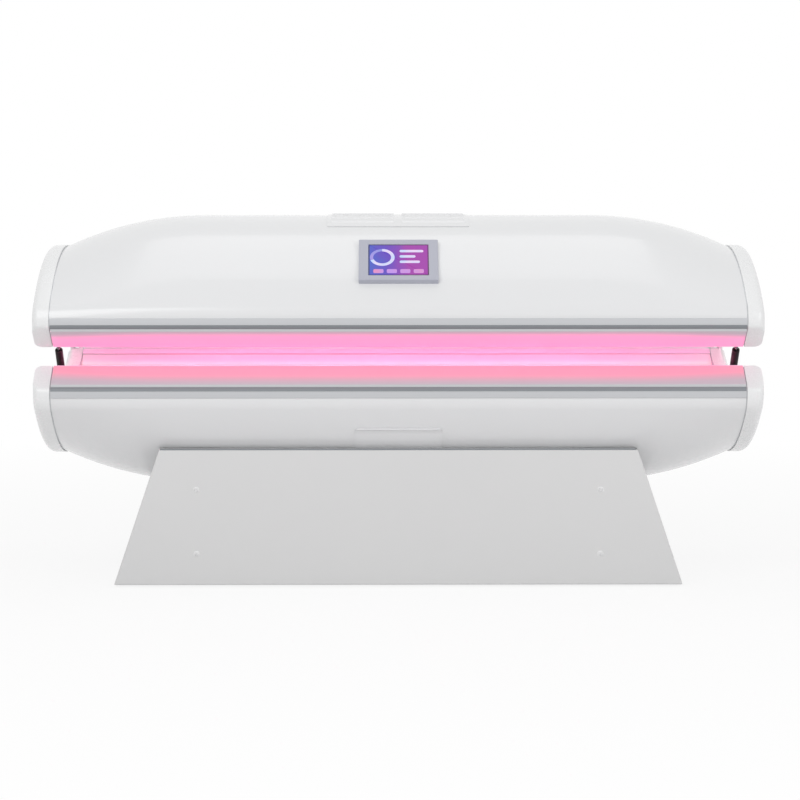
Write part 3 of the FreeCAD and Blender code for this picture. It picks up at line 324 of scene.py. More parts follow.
def clear_acrylic(finish):
    """Make a sheet clear but for its long margins, with a gloss that grows in a flat view, and a faint
    painted light on it that fades at its edges.
    """
    tree = finish.node_tree
    tilt = add_node(tree, "LayerWeight", Blend=tilt_blend).outputs["Facing"]
    gloss = graded(tree, tilt, 0.0, 1.0, *tilt_cover, curve="LINEAR")
    place = reckon(tree, "ABSOLUTE", object_axes(tree)["Y"])
    frost = graded(tree, place, frost_start, frost_full, high=frost_cover)
    set_inputs(tree, tree.nodes["Principled BSDF"], Alpha=reckon(tree, "MAXIMUM", gloss, frost))
    paint_glow(finish, graded(tree, place, glow_full, glow_end), painted_margin_light, no_glow)


# Places along the bed between which the painted spilled light on the rails sinks, and by how much
end_start = 0.650
end_full = 0.980
end_loss = 0.007
# By use: rises where the painted spilled light is full and faint, and both colors of it
painted_spill_glows = {
    "canopy_slope": (0.056, 0.0745, (0.68, 0.08, 0.31), (0.15, 0.095, 0.13)),
    "base_slope": (0.042, 0.072, (0.58, 0.0, 0.09), (0.15, 0.095, 0.13)),
    "rail_lip": (0.045, 0.060, (0.42, 0.16, 0.30), no_glow),
}


def paint_spill_glow(finish, low, high, color, rest):
    """Paint the tunnel's spilled light on a rail face as a glow: full up to one rise, faint from another."""
    tree = finish.node_tree
    axes = object_axes(tree)
    rise = reckon(tree, "ABSOLUTE", reckon(tree, "SUBTRACT", axes["Z"], split))
    loss = graded(tree, reckon(tree, "ABSOLUTE", axes["X"]), end_start, end_full, high=end_loss)
    paint_glow(finish, graded(tree, reckon(tree, "ADD", rise, loss), low, high), color, rest)


# Painted light: a glow on the acrylic and the tunnel's spilled light on the rails' slopes and lips
clear_acrylic(finishes["acrylic_clear"])
for use, row in painted_spill_glows.items():
    paint_spill_glow(finishes[use], *row)


# Pieces

def add_object(name, data):
    """New object in the scene."""
    made = bpy.data.objects.new(name, data)
    scene.collection.objects.link(made)
    return made


def stands_for(name, bm, node, half=None, sharp=35.0, extra=()):
    """Finish a mesh as a piece that stands for a CAD node and rides on its body.

    A mesh drawn as a rise above the split plane names its half, and turns over for the base."""
    if half == "base":
        bmesh.ops.scale(bm, vec=(1, 1, -1), verts=bm.verts)
    if half:
        bmesh.ops.translate(bm, vec=(0, 0, split), verts=bm.verts)
    bmesh.ops.remove_doubles(bm, verts=bm.verts, dist=weld)
    face_out(bm)
    mesh = bpy.data.meshes.new(name)
    bm.to_mesh(mesh)
    bm.free()
    for use in (own_use.get(node, slot_of[node]), *extra):
        mesh.materials.append(finishes[use])
    mesh.shade_smooth()
    mesh.set_sharp_from_angle(angle=math.radians(sharp))
    piece = add_object(name, mesh)
    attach(piece, body_of[node])
    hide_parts(node)


def face_out(bm):
    """Turn all faces of a mesh outwards."""
    bmesh.ops.recalc_face_normals(bm, faces=bm.faces)


def turned(degrees, axis, size=4):
    """Rotation about an axis."""
    return Matrix.Rotation(math.radians(degrees), size, axis)


def middle(face):
    """Middle of a face."""
    return face.calc_center_median()


def corners_in(result):
    """Corners among an operator's new geometry."""
    found = result.get("geom") or result.get("geom_last")
    return [item for item in found if isinstance(item, bmesh.types.BMVert)]


def everything(bm):
    """All geometry of a mesh, as the operators take it."""
    return bm.verts[:] + bm.edges[:] + bm.faces[:]


def edges_among(verts):
    """Edges with both ends among some corners."""
    inside = set(verts)
    found = dict.fromkeys(edge for vert in verts for edge in vert.link_edges)
    return [edge for edge in found if all(vert in inside for vert in edge.verts)]


def paint_new(bm, old, index):
    """Give the faces that are not among old ones a finish; those faces."""
    new = [face for face in bm.faces if face not in old]
    for face in new:
        face.material_index = index
    return new


def pull(bm, edges, vec):
    """Extrude edges by a vector; the new corners."""
    moved = corners_in(bmesh.ops.extrude_edge_only(bm, edges=edges))
    bmesh.ops.translate(bm, vec=vec, verts=moved)
    return moved


def pull_faces(bm, faces, vec):
    """Extrude faces by a vector; the new corners."""
    moved = corners_in(bmesh.ops.extrude_face_region(bm, geom=faces))
    bmesh.ops.translate(bm, vec=vec, verts=moved)
    return moved


def round_off(bm, geom, size, steps=4, affect="EDGES", clamp=False):
    """Round edges or corners in some steps."""
    bmesh.ops.bevel(bm, geom=geom, offset=size, offset_type="OFFSET", segments=steps, profile=0.5,
                    affect=affect, clamp_overlap=clamp, material=-1)


def open_where(bm, faces, test):
    """Delete the faces with a middle that passes a test."""
    bmesh.ops.delete(bm, geom=[face for face in faces if test(middle(face))], context="FACES")


def slice_faces(bm, faces, spot, normal):
    """Cut faces along a plane."""
    near = set(faces)
    for face in faces:
        near.update(face.verts)
        near.update(face.edges)
    bmesh.ops.bisect_plane(bm, geom=list(near), dist=weld, plane_co=spot, plane_no=normal)


def straight(bm, last, spot):
    """Run an edge from the last corner to a spot."""
    corner = bmesh.ops.extrude_vert_indiv(bm, verts=[last])["verts"][0]
    corner.co = spot
    return corner


def swing(bm, last, center, degrees, steps):
    """Run edges along an arc about a line along X."""
    run = bmesh.ops.spin(bm, geom=[last], cent=center, axis=X, angle=math.radians(degrees), steps=steps)
    return corners_in(run)[0]


def outline_face(bm, spots):
    """Flat face with straight edges between spots; the face in a list, and its corners."""
    ring = [bm.verts.new(spots[0])]
    for spot in spots[1:]:
        ring.append(straight(bm, ring[-1], spot))
    bm.edges.new((ring[-1], ring[0]))
    return bmesh.ops.edgeloop_fill(bm, edges=edges_among(ring))["faces"], ring


def outline_bar(bm, outline, x_low, x_high):
    """Straight bar along X with corners given as (y, rise); its long edges in the same order."""
    end, ring = outline_face(bm, [(x_low, *corner) for corner in outline])
    far = set(pull_faces(bm, end, (x_high - x_low, 0, 0)))
    return [next(edge for edge in vert.link_edges if edge.other_vert(vert) in far) for vert in ring]


def block(bm, size, center):
    """Box of a size about a spot; its corners."""
    corners = bmesh.ops.create_cube(bm, size=1.0)["verts"]
    bmesh.ops.scale(bm, vec=size, verts=corners)
    bmesh.ops.translate(bm, vec=center, verts=corners)
    return corners


# Curved sheets

sheet_step = 1.2


def crown_arc(crown):
    """Radius and centre rise of a crown arc through the hem corners."""
    height = crown - hem
    radius = (hem_place**2 + height**2) / (2 * height)
    return radius, crown - radius


mid_radius, mid_center = crown_arc(mid_crown)


def angle_at(spot):
    """Degrees of a spot on the straight middle of a half from its crown, front positive."""
    return math.degrees(math.atan2(-spot.y, spot.z - mid_center))


def arc_sheet(bm, angles, places, radius, center, step):
    """Curved sheet with edges at angles from the crown and at places along X."""
    start = math.radians(angles[0])
    last = bm.verts.new((places[0], -radius * math.sin(start), center + radius * math.cos(start)))
    for low, high in zip(angles, angles[1:]):
        last = swing(bm, last, (places[0], 0, center), high - low, max(1, round((high - low) / step)))
    edges = bm.edges[:]
    for low, high in zip(places, places[1:]):
        edges = edges_among(pull(bm, edges, (high - low, 0, 0)))


def thicken_out(bm, thickness):
    """Give a sheet its thickness, away from the middle or, where negative, towards it."""
    bmesh.ops.remove_doubles(bm, verts=bm.verts, dist=weld)
    face_out(bm)
    face = max(bm.faces, key=lambda item: item.calc_area())
    outward = face.normal.dot(Vector((0, middle(face).y, 1))) > 0
    bmesh.ops.solidify(bm, geom=bm.faces[:], thickness=-thickness if outward else thickness)


def lift_out(bm, verts, height):
    """Move corners on the straight middle of a half outwards."""
    for vert in verts:
        away = Vector((0, vert.co.y, vert.co.z - mid_center)).normalized()
        bmesh.ops.translate(bm, vec=away * height, verts=[vert])


# Skins

# Openings: two angles from the crown, front positive, and half the length
vent_opening = (-18.57, 18.57, 0.188)
front_opening = {"canopy": (32.8, 48.2, 0.095), "base": (31.37, 49.05, 0.108)}


def crown_at(x):
    """Crown rise of a skin at a place along the bed."""
    drop = mid_crown - end_crown
    span = skin_end - flat_half
    radius = (span**2 + drop**2) / (2 * drop)
    run = max(0.0, abs(x) - flat_half)
    return mid_crown - radius + math.sqrt(radius**2 - run**2)


def hem_to_hem(bm, x, crown, foot, grow):
    """Edges over a half from the front hem to the rear hem; first and last corner."""
    radius, center = crown_arc(crown)
    side = hem_place + grow
    knee_place = hem_place - knee_radius
    knee_rise = center + math.sqrt((radius - knee_radius)**2 - knee_place**2)
    lean = math.degrees(math.atan2(knee_place, knee_rise - center))
    first = bm.verts.new((x, -side, foot))
    last = straight(bm, first, (x, -side, knee_rise))
    last = swing(bm, last, (x, -knee_place, knee_rise), lean - 90, knee_steps)
    last = swing(bm, last, (x, 0, center), -2 * lean, crown_steps)
    last = swing(bm, last, (x, knee_place, knee_rise), lean - 90, knee_steps)
    last = straight(bm, last, (x, side, foot))
    return first, last


def cut_window(bm, low, high, half_long):
    """Open a rectangle in the straight middle of a skin, between angles from the crown."""
    cuts = [(half_long * X, X), (-half_long * X, X)]
    cuts += [(mid_center * Z, turned(angle, "X", 3) @ Y) for angle in (low, high)]
    for spot, normal in cuts:
        slice_faces(bm, [face for face in bm.faces if abs(middle(face).x) < flat_half], spot, normal)
    open_where(bm, bm.faces, lambda spot: abs(spot.x) < half_long and low < angle_at(spot) < high)


def skin(half):
    """Domed skin of one half with its vent and its front opening."""
    bm = bmesh.new()
    span = skin_end - flat_half
    stations = [flat_half + span * step / dome_steps for step in range(dome_steps + 1)]
    lines = []
    for x in [-x for x in reversed(stations)] + stations:
        old = set(bm.edges)
        hem_to_hem(bm, x, crown_at(x), crease + flange_wall, 0.0)
        lines.append([edge for edge in bm.edges if edge not in old])
    for one, other in zip(lines, lines[1:]):
        bmesh.ops.bridge_loops(bm, edges=one + other)
    cut_window(bm, *vent_opening)
    cut_window(bm, *front_opening[half])
    face_out(bm)
    bmesh.ops.solidify(bm, geom=bm.faces[:], thickness=skin_wall)
    stands_for(f"{half}_skin", bm, f"{half}_shell", half)


# End caps

cap_inner = 0.953
cap_wall = 0.005
cap_round = 0.020
cap_round_steps = 6
crease_round = 0.008
crease_reach = 0.0124
lens_rise = 0.084
lens_steps = 40
hinge_slot = (0.3695, 0.4205)
spring_slot = {"canopy": (-0.1907, -0.1011), "base": (0.0202, 0.1769)}
slot_end = 0.9945
cap_screw_spots = ((-0.300, 0.150), (0.0, 0.230), (0.300, 0.150))
sink_radius = 0.0052
sink_depth = 0.0032
sink_sides = 20
# Shares of a unit normal: of faces along the bed, of the slopes and of all faces to the tunnel
along_share = 0.01
slope_share = (-0.9, -0.7)
tunnel_share = -0.05


def on_slope(edge):
    """Whether an edge of a cap's outline runs from the crease to the nose."""
    ends = sorted(abs(vert.co.y) for vert in edge.verts)
    return abs(ends[0] - nose_place) < hair and abs(ends[1] - half_depth) < hair


def slope_creases(bm):
    """Edges of a cap along its two creases, from the inner rim to the rounded outer edge."""
    slopes = [face for face in bm.faces if abs(face.normal.x) < along_share
              and slope_share[0] < face.normal.z < slope_share[1] and abs(middle(face).y) > nose_place]
    return [edge for face in slopes for edge in face.edges
            if all(vert.co.z > crease - crease_reach for vert in edge.verts)
            and any(vert.co.x < half_length - hair for vert in edge.verts)
            and any(vert.co.x > cap_inner + hair for vert in edge.verts)]


def tunnel_faces(bm):
    """Faces of a cap's edge along the tunnel, rounding included."""
    return [face for face in bm.faces if face.normal.z < tunnel_share and face.normal.x < facing]


def sink_screws(bm):
    """Sinks for the screws in a cap's flat outer face."""
    flat = max((face for face in bm.faces if face.normal.x > facing), key=lambda face: face.calc_area())
    edges = list(flat.edges)
    bmesh.ops.delete(bm, geom=[flat], context="FACES_ONLY")
    circles = []
    for y, rise in cap_screw_spots:
        place = Matrix.Translation((half_length, y, rise)) @ turned(90, "Y")
        circle = bmesh.ops.create_circle(bm, segments=sink_sides, radius=sink_radius, matrix=place)
        circles.append(edges_among(circle["verts"]))
        edges += circles[-1]
    bmesh.ops.triangle_fill(bm, use_beauty=True, edges=edges)
    for circle in circles:
        floor = pull(bm, circle, (-sink_depth, 0, 0))
        bmesh.ops.edgeloop_fill(bm, edges=edges_among(floor))


def end_cap(half, side):
    """Moulded end cap: rounded outer edge, slots in its edge to the tunnel, screw sinks."""
    bm = bmesh.new()
    first, last = hem_to_hem(bm, cap_inner, end_crown, crease, flange_wall)
    last = straight(bm, last, (cap_inner, nose_place, nose))
    lens_radius = (nose_place**2 + lens_rise**2) / (2 * lens_rise)
    lens_turn = 2 * math.degrees(math.asin(nose_place / lens_radius))
    last = swing(bm, last, (cap_inner, 0, nose + lens_rise - lens_radius), lens_turn, lens_steps)
    bm.edges.new((last, first))
    back = bmesh.ops.edgeloop_fill(bm, edges=bm.edges[:])["faces"]
    pull_faces(bm, back, (half_length - cap_inner, 0, 0))
    face_out(bm)
    inner = [face for face in bm.faces if middle(face).x < cap_inner + hair]
    bmesh.ops.delete(bm, geom=inner, context="FACES_ONLY")
    rim = [edge for edge in bm.edges if all(vert.co.x > half_length - hair for vert in edge.verts)]
    round_off(bm, [edge for edge in rim if not on_slope(edge)], cap_round, cap_round_steps)
    bm.normal_update()
    round_off(bm, slope_creases(bm), crease_round)
    bm.normal_update()
    slots = (hinge_slot, spring_slot[half])
    slice_faces(bm, tunnel_faces(bm), slot_end * X, X)
    for y in (*slots[0], *slots[1]):
        slice_faces(bm, tunnel_faces(bm), y * Y, Y)
    bm.normal_update()
    open_where(bm, tunnel_faces(bm), lambda spot: spot.x < slot_end
               and any(low < spot.y < high for low, high in slots))
    sink_screws(bm)
    face_out(bm)
    bmesh.ops.solidify(bm, geom=bm.faces[:], thickness=cap_wall)
    if side == "left":
        bmesh.ops.scale(bm, vec=(-1, 1, 1), verts=bm.verts)
    stands_for(f"{half}_cap_{side}", bm, f"{half}_end_cap_{side}", half)


# Rails

flange_height = 0.024
notch_high = 0.0910
notch_low = 0.0902
notch_sink = 0.001
lip_step_place = 0.4420
lip_low = 0.0725
groove_inset = 0.018
groove_rise = 0.008
groove_tilt = 35.0
groove_half = 0.006
groove_cos = math.cos(math.radians(groove_tilt))
groove_sin = math.sin(math.radians(groove_tilt))
front_lip = 0.016
back_lip = 0.012
# By corner of the rail's outline: finish of the face up to the next corner, and round of the edge
# The faces from the notch round the crease take the dark grey: painted shade along the crease
shade_paint, slope, lip = 1, 2, 3
rail_finish = {4: shade_paint, 5: shade_paint, 7: slope, 8: lip, 9: lip, 10: lip}
rail_round = {0: 0.0010, 5: 0.0048, 7: 0.0010, 8: 0.0020}


def in_groove(along, across):
    """(y, rise) of a spot in the front rail's groove, along its depth and across it."""
    y = -(nose_place - groove_inset) + along * groove_cos - across * groove_sin
    rise = nose + groove_rise + along * groove_sin + across * groove_cos
    return y, rise


def slope_rise(y):
    """Rise of a rail's sloping face at a place from the middle."""
    return nose + (abs(y) - nose_place) * (crease - nose) / (half_depth - nose_place)


def rails(half):
    """Front and rear rail: flange, a dark band of painted shade round the crease, slope, lip and groove."""
    outer_lip = groove_half + flange_wall
    lift = flange_wall * math.hypot(half_depth - nose_place, crease - nose) / (half_depth - nose_place)
    root_y = -(nose_place + 2 * flange_wall)
    outline = [
        (-half_depth, crease + flange_height), (-half_depth, notch_high),
        (-half_depth + notch_sink, notch_high), (-half_depth + notch_sink, notch_low),
        (-half_depth, notch_low), (-half_depth, crease),
        (-lip_step_place, slope_rise(lip_step_place)), (-lip_step_place, lip_low), (-nose_place, nose),
        in_groove(0, -outer_lip), in_groove(front_lip, -outer_lip),
        in_groove(front_lip, -groove_half), in_groove(0, -groove_half),
        in_groove(0, groove_half), in_groove(back_lip, groove_half),
        in_groove(back_lip, outer_lip), in_groove(0, outer_lip),
        (root_y, slope_rise(root_y) + lift), (-hem_place, slope_rise(hem_place) + lift),
        (-hem_place, crease + flange_height),
    ]
    bm = bmesh.new()
    long_edges = outline_bar(bm, outline, -skin_end, skin_end)
    face_out(bm)
    for corner, index in rail_finish.items():
        shared = set(long_edges[corner].link_faces) & set(long_edges[corner + 1].link_faces)
        shared.pop().material_index = index
    for corner, size in rail_round.items():
        round_off(bm, [long_edges[corner]], size)
    rear = bmesh.ops.duplicate(bm, geom=everything(bm))
    bmesh.ops.scale(bm, vec=(1, -1, 1), verts=corners_in(rear))
    for face in bm.faces:
        if face.material_index == slope and middle(face).y > 0:
            face.material_index = 0
    extra = ["painted_shade_band", f"{half}_slope", "rail_lip"]
    stands_for(f"{half}_rail_pair", bm, f"{half}_rails", half, extra=extra)


# Tunnel

tunnel_axis = -0.4614
# Curved sheets: inner radius, half the angle, thickness and degrees a step
acrylic_sheet = (0.6052, groove_tilt, 0.005, 1.75)
tray_sheet = (0.6522, 30.0, 0.002, 1.667)
board_length = 1.840
board_width = 0.052
board_sheet = 0.0016
board_face = 0.6499
board_spread = 5.273
board_count = 11
diode_doublings = 6
diode_row = 0.013
case_side = 0.0060
case_height = 0.0012
diode_radius = 0.0024
diode_height = 0.0011
diode_taper = 0.55
diode_sides = 8
sunk = 0.0001


def tunnel_sheet(name, half, node, radius, half_angle, thickness, step):
    """Curved sheet about the tunnel's axis, thickness outwards from a radius."""
    bm = bmesh.new()
    arc_sheet(bm, [-half_angle, half_angle], [-skin_end, skin_end], radius, tunnel_axis, step)
    thicken_out(bm, thickness)
    stands_for(name, bm, node, half)


def diode(bm, x, y):
    """White case with a low lens under the board's face at z = 0, each sunk a little."""
    old = set(bm.faces)
    block(bm, (case_side, case_side, case_height + sunk), (x, y, (sunk - case_height) / 2))
    paint_new(bm, old, 1)
    old = set(bm.faces)
    rim = bmesh.ops.create_circle(bm, cap_ends=True, segments=diode_sides, radius=diode_radius,
                                  matrix=Matrix.Translation((x, y, sunk - case_height)))["verts"]
    top = pull_faces(bm, list(rim[0].link_faces), (0, 0, -diode_height - sunk))
    bmesh.ops.scale(bm, vec=(diode_taper, diode_taper, 1), verts=top, space=Matrix.Translation((-x, -y, 0)))
    paint_new(bm, old, 2)


def led_boards(half):
    """Boards with two rows of diodes each, spread about the tunnel's axis."""
    bm = bmesh.new()
    pitch = board_length / 2**diode_doublings
    for row in (-1, 1):
        diode(bm, -board_length / 2 + pitch / 2, row * diode_row)
    for doubling in range(diode_doublings):
        copy = bmesh.ops.duplicate(bm, geom=everything(bm))
        bmesh.ops.translate(bm, vec=(pitch * 2**doubling, 0, 0), verts=corners_in(copy))
    block(bm, (board_length, board_width, board_sheet), (0, 0, board_sheet / 2))
    bmesh.ops.translate(bm, vec=(0, 0, board_face), verts=bm.verts)
    fan_out = board_spread * (board_count - 1)
    bmesh.ops.rotate(bm, cent=(0, 0, 0), matrix=turned(-fan_out / 2, "X", 3), verts=bm.verts)
    bmesh.ops.spin(bm, geom=everything(bm), cent=(0, 0, 0), axis=X, angle=math.radians(fan_out),
                   steps=board_count - 1, use_duplicate=True)
    bmesh.ops.translate(bm, vec=(0, 0, tunnel_axis), verts=bm.verts)
    stands_for(f"{half}_lit_boards", bm, f"{half}_led_boards", half, extra=["diode_case", "diode_lens"])


# Vent grilles and access cover

grille_half_angle = 19.90
grille_half_long = 0.200
grille_lift = 0.0002
grille_sheet = 0.002
slot_rows = 9
slot_row_step = 4.1274
slot_half_angle = 0.6633
slot_low = 0.012
slot_high = 0.188
lip_lift = 0.003
lip_reach = 0.8
row_play = 0.01
cover_low_angle = 30.04
cover_high_angle = 50.38
cover_half_long = 0.120
cover_sheet = 0.002
cover_corner = 0.008
cover_lip = 0.004
cover_angle_play = 0.05
cover_play = 0.0005
corner_steps = 5


def vent_grille(half):
    """Louvre sheet over the vent: two columns of slots, each under a pressed lip."""
    rows = [(row - (slot_rows - 1) / 2) * slot_row_step for row in range(slot_rows)]
    slot_angles = [row + side * slot_half_angle for row in rows for side in (-1, 1)]
    places = [-grille_half_long, -slot_high, -slot_low, slot_low, slot_high, grille_half_long]
    bm = bmesh.new()
    arc_sheet(bm, [-grille_half_angle, *slot_angles, grille_half_angle], places,
              mid_radius + grille_lift, mid_center, sheet_step)
    open_where(bm, bm.faces, lambda spot: slot_low < abs(spot.x) < slot_high
               and any(abs(angle_at(spot) - row) < slot_half_angle for row in rows))
    lip_edges = []
    for edge in bm.edges:
        one, other = (vert.co for vert in edge.verts)
        along = abs(one.x - other.x) > hair
        at_row = any(abs(angle_at(one) - row - slot_half_angle) < row_play for row in rows)
        if along and at_row and slot_low < abs(one.x + other.x) / 2 < slot_high:
            lip_edges.append(edge)
    lips = corners_in(bmesh.ops.extrude_edge_only(bm, edges=lip_edges))
    over_slot = turned(-2 * slot_half_angle * lip_reach, "X", 3)
    bmesh.ops.rotate(bm, cent=(0, 0, mid_center), verts=lips, matrix=over_slot)
    lift_out(bm, lips, lip_lift)
    thicken_out(bm, grille_sheet)
    stands_for(f"{half}_louvre_sheet", bm, f"{half}_vent_grille", half)


def access_cover():
    """Curved cover with rounded corners and a thick upper edge, low on the base's front."""
    inner = mid_radius + grille_lift
    bm = bmesh.new()
    arc_sheet(bm, [cover_low_angle, cover_high_angle], [-cover_half_long, cover_half_long],
              inner, mid_center, sheet_step)
    corners = [vert for vert in bm.verts if len(vert.link_edges) == 2]
    round_off(bm, corners, cover_corner, corner_steps, affect="VERTICES")
    thicken_out(bm, cover_sheet)
    upper = []
    for vert in bm.verts:
        outside = math.hypot(vert.co.y, vert.co.z - mid_center) > inner + cover_sheet - cover_play
        if outside and angle_at(vert.co) > cover_high_angle - cover_angle_play:
            upper.append(vert)
    lift_out(bm, upper, cover_lip)
    stands_for("access_cover_plate", bm, "access_cover", "base")


# Screen

screen_angle = 40.5
bezel_length = 0.219
bezel_height = 0.166
bezel_corner = 0.0030
bezel_stand = 0.008
bezel_sink = 0.0075
bezel_dip = 0.0008
bezel_round = 0.0016
window_length = 0.167
window_height = 0.127
window_corner = 0.0020
window_round = 0.0005
glass_top = 0.0065
glass_sheet = 0.003
glass_play = 0.0004
glass_round = 0.0006
glass_round_steps = 3
ring_spot = (-0.045, 0.010)
ring_inner = 0.025
ring_outer = 0.034
ring_edge = 0.0004
ring_turn = 250.0
ring_steps = 28
bar_lengths = (0.066, 0.044, 0.056)
bar_height = 0.010
bar_corner = 0.0045
bar_start = 0.003
bar_top = 0.036
bar_step = 0.022
key_count = 4
key_size = (0.028, 0.016)
key_corner = 0.004
key_start = (-0.0555, -0.046)
key_step = 0.037
page_margin = 0.0026
page_cloud = 0.5
page_stops = ((0.10, (0.04, 0.13, 0.66)), (0.55, (0.13, 0.05, 0.58)), (0.95, (0.42, 0.03, 0.44)))
mark_sink = 0.00005
mark_height = 0.0002
screen_place = (Matrix.Translation((0, 0, split + mid_center)) @ turned(screen_angle, "X")
                @ Matrix.Translation((0, 0, mid_radius)))


def display_glow():
    """Screen page that drifts from blue through violet to pink."""
    finish, tree, shader = new_finish("screen_display", Base_Color=(0.02, 0.02, 0.04), Roughness=0.12,
                                      Specular_IOR_Level=0.25, Emission_Strength=0.8)
    clouds = add_node(tree, "TexNoise", Vector=object_place(tree), Scale=22.0, Detail=1.0).outputs["Fac"]
    across = graded(tree, object_axes(tree)["X"], -window_length / 2, window_length / 2, curve="LINEAR")
    drift = reckon(tree, "MULTIPLY_ADD", clouds, page_cloud, across)
    set_inputs(tree, shader, Emission_Color=color_ramp(tree, drift, *page_stops))
    return finish


finishes["screen_display"] = display_glow()
display_marks = ["faint_ring", "bright_mark", "pink_key", "fan_black"]
faint, bright, pink, dark = 1, 2, 3, 4


def rounded_plate(bm, length, height, corner, z, at=(0, 0)):
    """Flat face with rounded corners about a spot."""
    old = set(bm.faces)
    corners = bmesh.ops.create_grid(bm, x_segments=1, y_segments=1, size=0.5)["verts"]
    bmesh.ops.scale(bm, vec=(length, height, 1), verts=corners)
    bmesh.ops.translate(bm, vec=(*at, z), verts=corners)
    round_off(bm, corners, corner, corner_steps, affect="VERTICES")
    return next(face for face in bm.faces if face not in old)


def top_face(bm):
    """Highest face of a mesh."""
    return max(bm.faces, key=lambda face: middle(face).z)


def screen_bezel():
    """Satin frame with a rounded rim, a face that dips and a step down to the glass."""
    bm = bmesh.new()
    outside = (bezel_length, bezel_height, bezel_corner)
    window = (window_length, window_height, window_corner)
    loops = []
    for size, z in ((outside, -bezel_sink), (outside, bezel_stand), (window, bezel_stand - bezel_dip),
                    (window, glass_top - glass_sheet)):
        plate = rounded_plate(bm, *size, z)
        loops.append(list(plate.edges))
        bmesh.ops.delete(bm, geom=[plate], context="FACES_ONLY")
    for one, other in zip(loops, loops[1:] + loops[:1]):
        bmesh.ops.bridge_loops(bm, edges=one + other)
    face_out(bm)
    round_off(bm, loops[1], bezel_round)
    round_off(bm, loops[2], window_round)
    bmesh.ops.transform(bm, matrix=screen_place, verts=bm.verts)
    stands_for("screen_frame", bm, "screen_bezel")


def ring_arc(bm, at, inner, outer, degrees, z):
    """Flat ring or part of one, from the top round."""
    start = bm.verts.new((at[0], at[1] + inner, z))
    end = bm.verts.new((at[0], at[1] + outer, z))
    edge = bm.edges.new((start, end))
    bmesh.ops.spin(bm, geom=[start, end, edge], cent=(*at, z), axis=Z, angle=math.radians(-degrees),
                   steps=ring_steps, use_merge=degrees >= 360)


def display():
    """Glass of the screen with a plain control page: a timer ring, level bars and keys."""
    bm = bmesh.new()
    low = rounded_plate(bm, window_length - glass_play, window_height - glass_play, window_corner,
                        glass_top - glass_sheet)
    pull_faces(bm, [low], (0, 0, glass_sheet))
    round_off(bm, list(top_face(bm).edges), glass_round, glass_round_steps)
    for face in bmesh.ops.inset_individual(bm, faces=[top_face(bm)], thickness=page_margin)["faces"]:
        face.material_index = dark
    marks = glass_top - mark_sink
    old = set(bm.faces)
    ring_arc(bm, ring_spot, ring_inner, ring_outer, 360, marks)
    pull_faces(bm, paint_new(bm, old, faint), (0, 0, mark_height))
    old = set(bm.faces)
    ring_arc(bm, ring_spot, ring_inner - ring_edge, ring_outer + ring_edge, ring_turn, marks)
    for level, length in enumerate(bar_lengths):
        spot = (bar_start + length / 2, bar_top - bar_step * level)
        rounded_plate(bm, length, bar_height, bar_corner, marks, at=spot)
    pull_faces(bm, paint_new(bm, old, bright), (0, 0, mark_height + mark_sink))
    old = set(bm.faces)
    for key in range(key_count):
        rounded_plate(bm, *key_size, key_corner, marks, at=(key_start[0] + key_step * key, key_start[1]))
    pull_faces(bm, paint_new(bm, old, pink), (0, 0, mark_height))
    bmesh.ops.transform(bm, matrix=screen_place, verts=bm.verts)
    stands_for("screen_display", bm, "screen_glass", extra=display_marks)


# Stand

panel_face = 0.370
panel_return = 0.018
panel_sheet = 0.002
panel_fold = 0.004
panel_bottom = 0.006
panel_top_half = 0.663
panel_bottom_half = 0.790
inlet_x = (-0.103, -0.017)
inlet_z = (0.136, 0.164)
strip_sunk = 0.0005
strip_short = 0.006
strip_round = 0.0018
strip_round_steps = 3
# Strips on a panel: setbacks of front and back from the panel's face, height and finish; the dark finish of
# the front strip is painted shade of the gap under the skin
edge_strips = ((0.0045, 0.0105, 0.0042, 1), (0.0110, 0.0285, 0.0036, 0))


def edge_strip(bm, panel_top, front, back, height, index):
    """Strip along the top of the front panel, between two setbacks from its face, rounded on top."""
    near = front - panel_face
    far = back - panel_face
    low = panel_top - strip_sunk
    high = panel_top + height
    reach = panel_top_half - strip_short
    old = set(bm.faces)
    long_edges = outline_bar(bm, [(near, low), (far, low), (far, high), (near, high)], -reach, reach)
    round_off(bm, long_edges[2:], strip_round, strip_round_steps)
    paint_new(bm, old, index)


def stand_panel(side):
    """Front or rear panel: a sheet with folded edges and two strips that close the gap on top, the front
    strip dark as painted shade.
    """
    node = f"stand_{side}_panel"
    panel_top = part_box(node)[1].z
    bm = bmesh.new()
    corners = [(-panel_bottom_half, panel_bottom), (panel_bottom_half, panel_bottom),
               (panel_top_half, panel_top), (-panel_top_half, panel_top)]
    sheet = outline_face(bm, [(x, -panel_face, z) for x, z in corners])[0]
    pull_faces(bm, sheet, (0, panel_return, 0))
    face_out(bm)
    behind = [face for face in bm.faces if face.normal.y > facing]
    bmesh.ops.delete(bm, geom=behind, context="FACES_ONLY")
    folds = [edge for edge in bm.edges if len(edge.link_faces) == 2]
    round_off(bm, folds, panel_fold)
    if side == "rear":
        for x in inlet_x:
            slice_faces(bm, bm.faces[:], x * X, X)
        for z in inlet_z:
            slice_faces(bm, bm.faces[:], z * Z, Z)
        open_where(bm, bm.faces, lambda spot: inlet_x[0] < spot.x < inlet_x[1]
                   and inlet_z[0] < spot.z < inlet_z[1])
    thicken_out(bm, -panel_sheet)
    for strip in edge_strips:
        edge_strip(bm, panel_top, *strip)
    if side == "rear":
        bmesh.ops.scale(bm, vec=(1, -1, 1), verts=bm.verts)
    stands_for(f"stand_{side}_cover", bm, node, extra=["painted_shade_band"])


# Screws

head_radius = 0.005
head_wall = 0.0016
head_height = 0.0030
head_taper = 0.72
head_sides = 24
socket_radius = 0.0023
socket_depth = 0.0018
cup_inner = 0.0051
cup_outer = 0.0085
cup_height = 0.0030
cup_sides = 28
panel_screw_place = 0.560
panel_screw_above_bottom = 0.087
panel_screw_below_top = 0.110


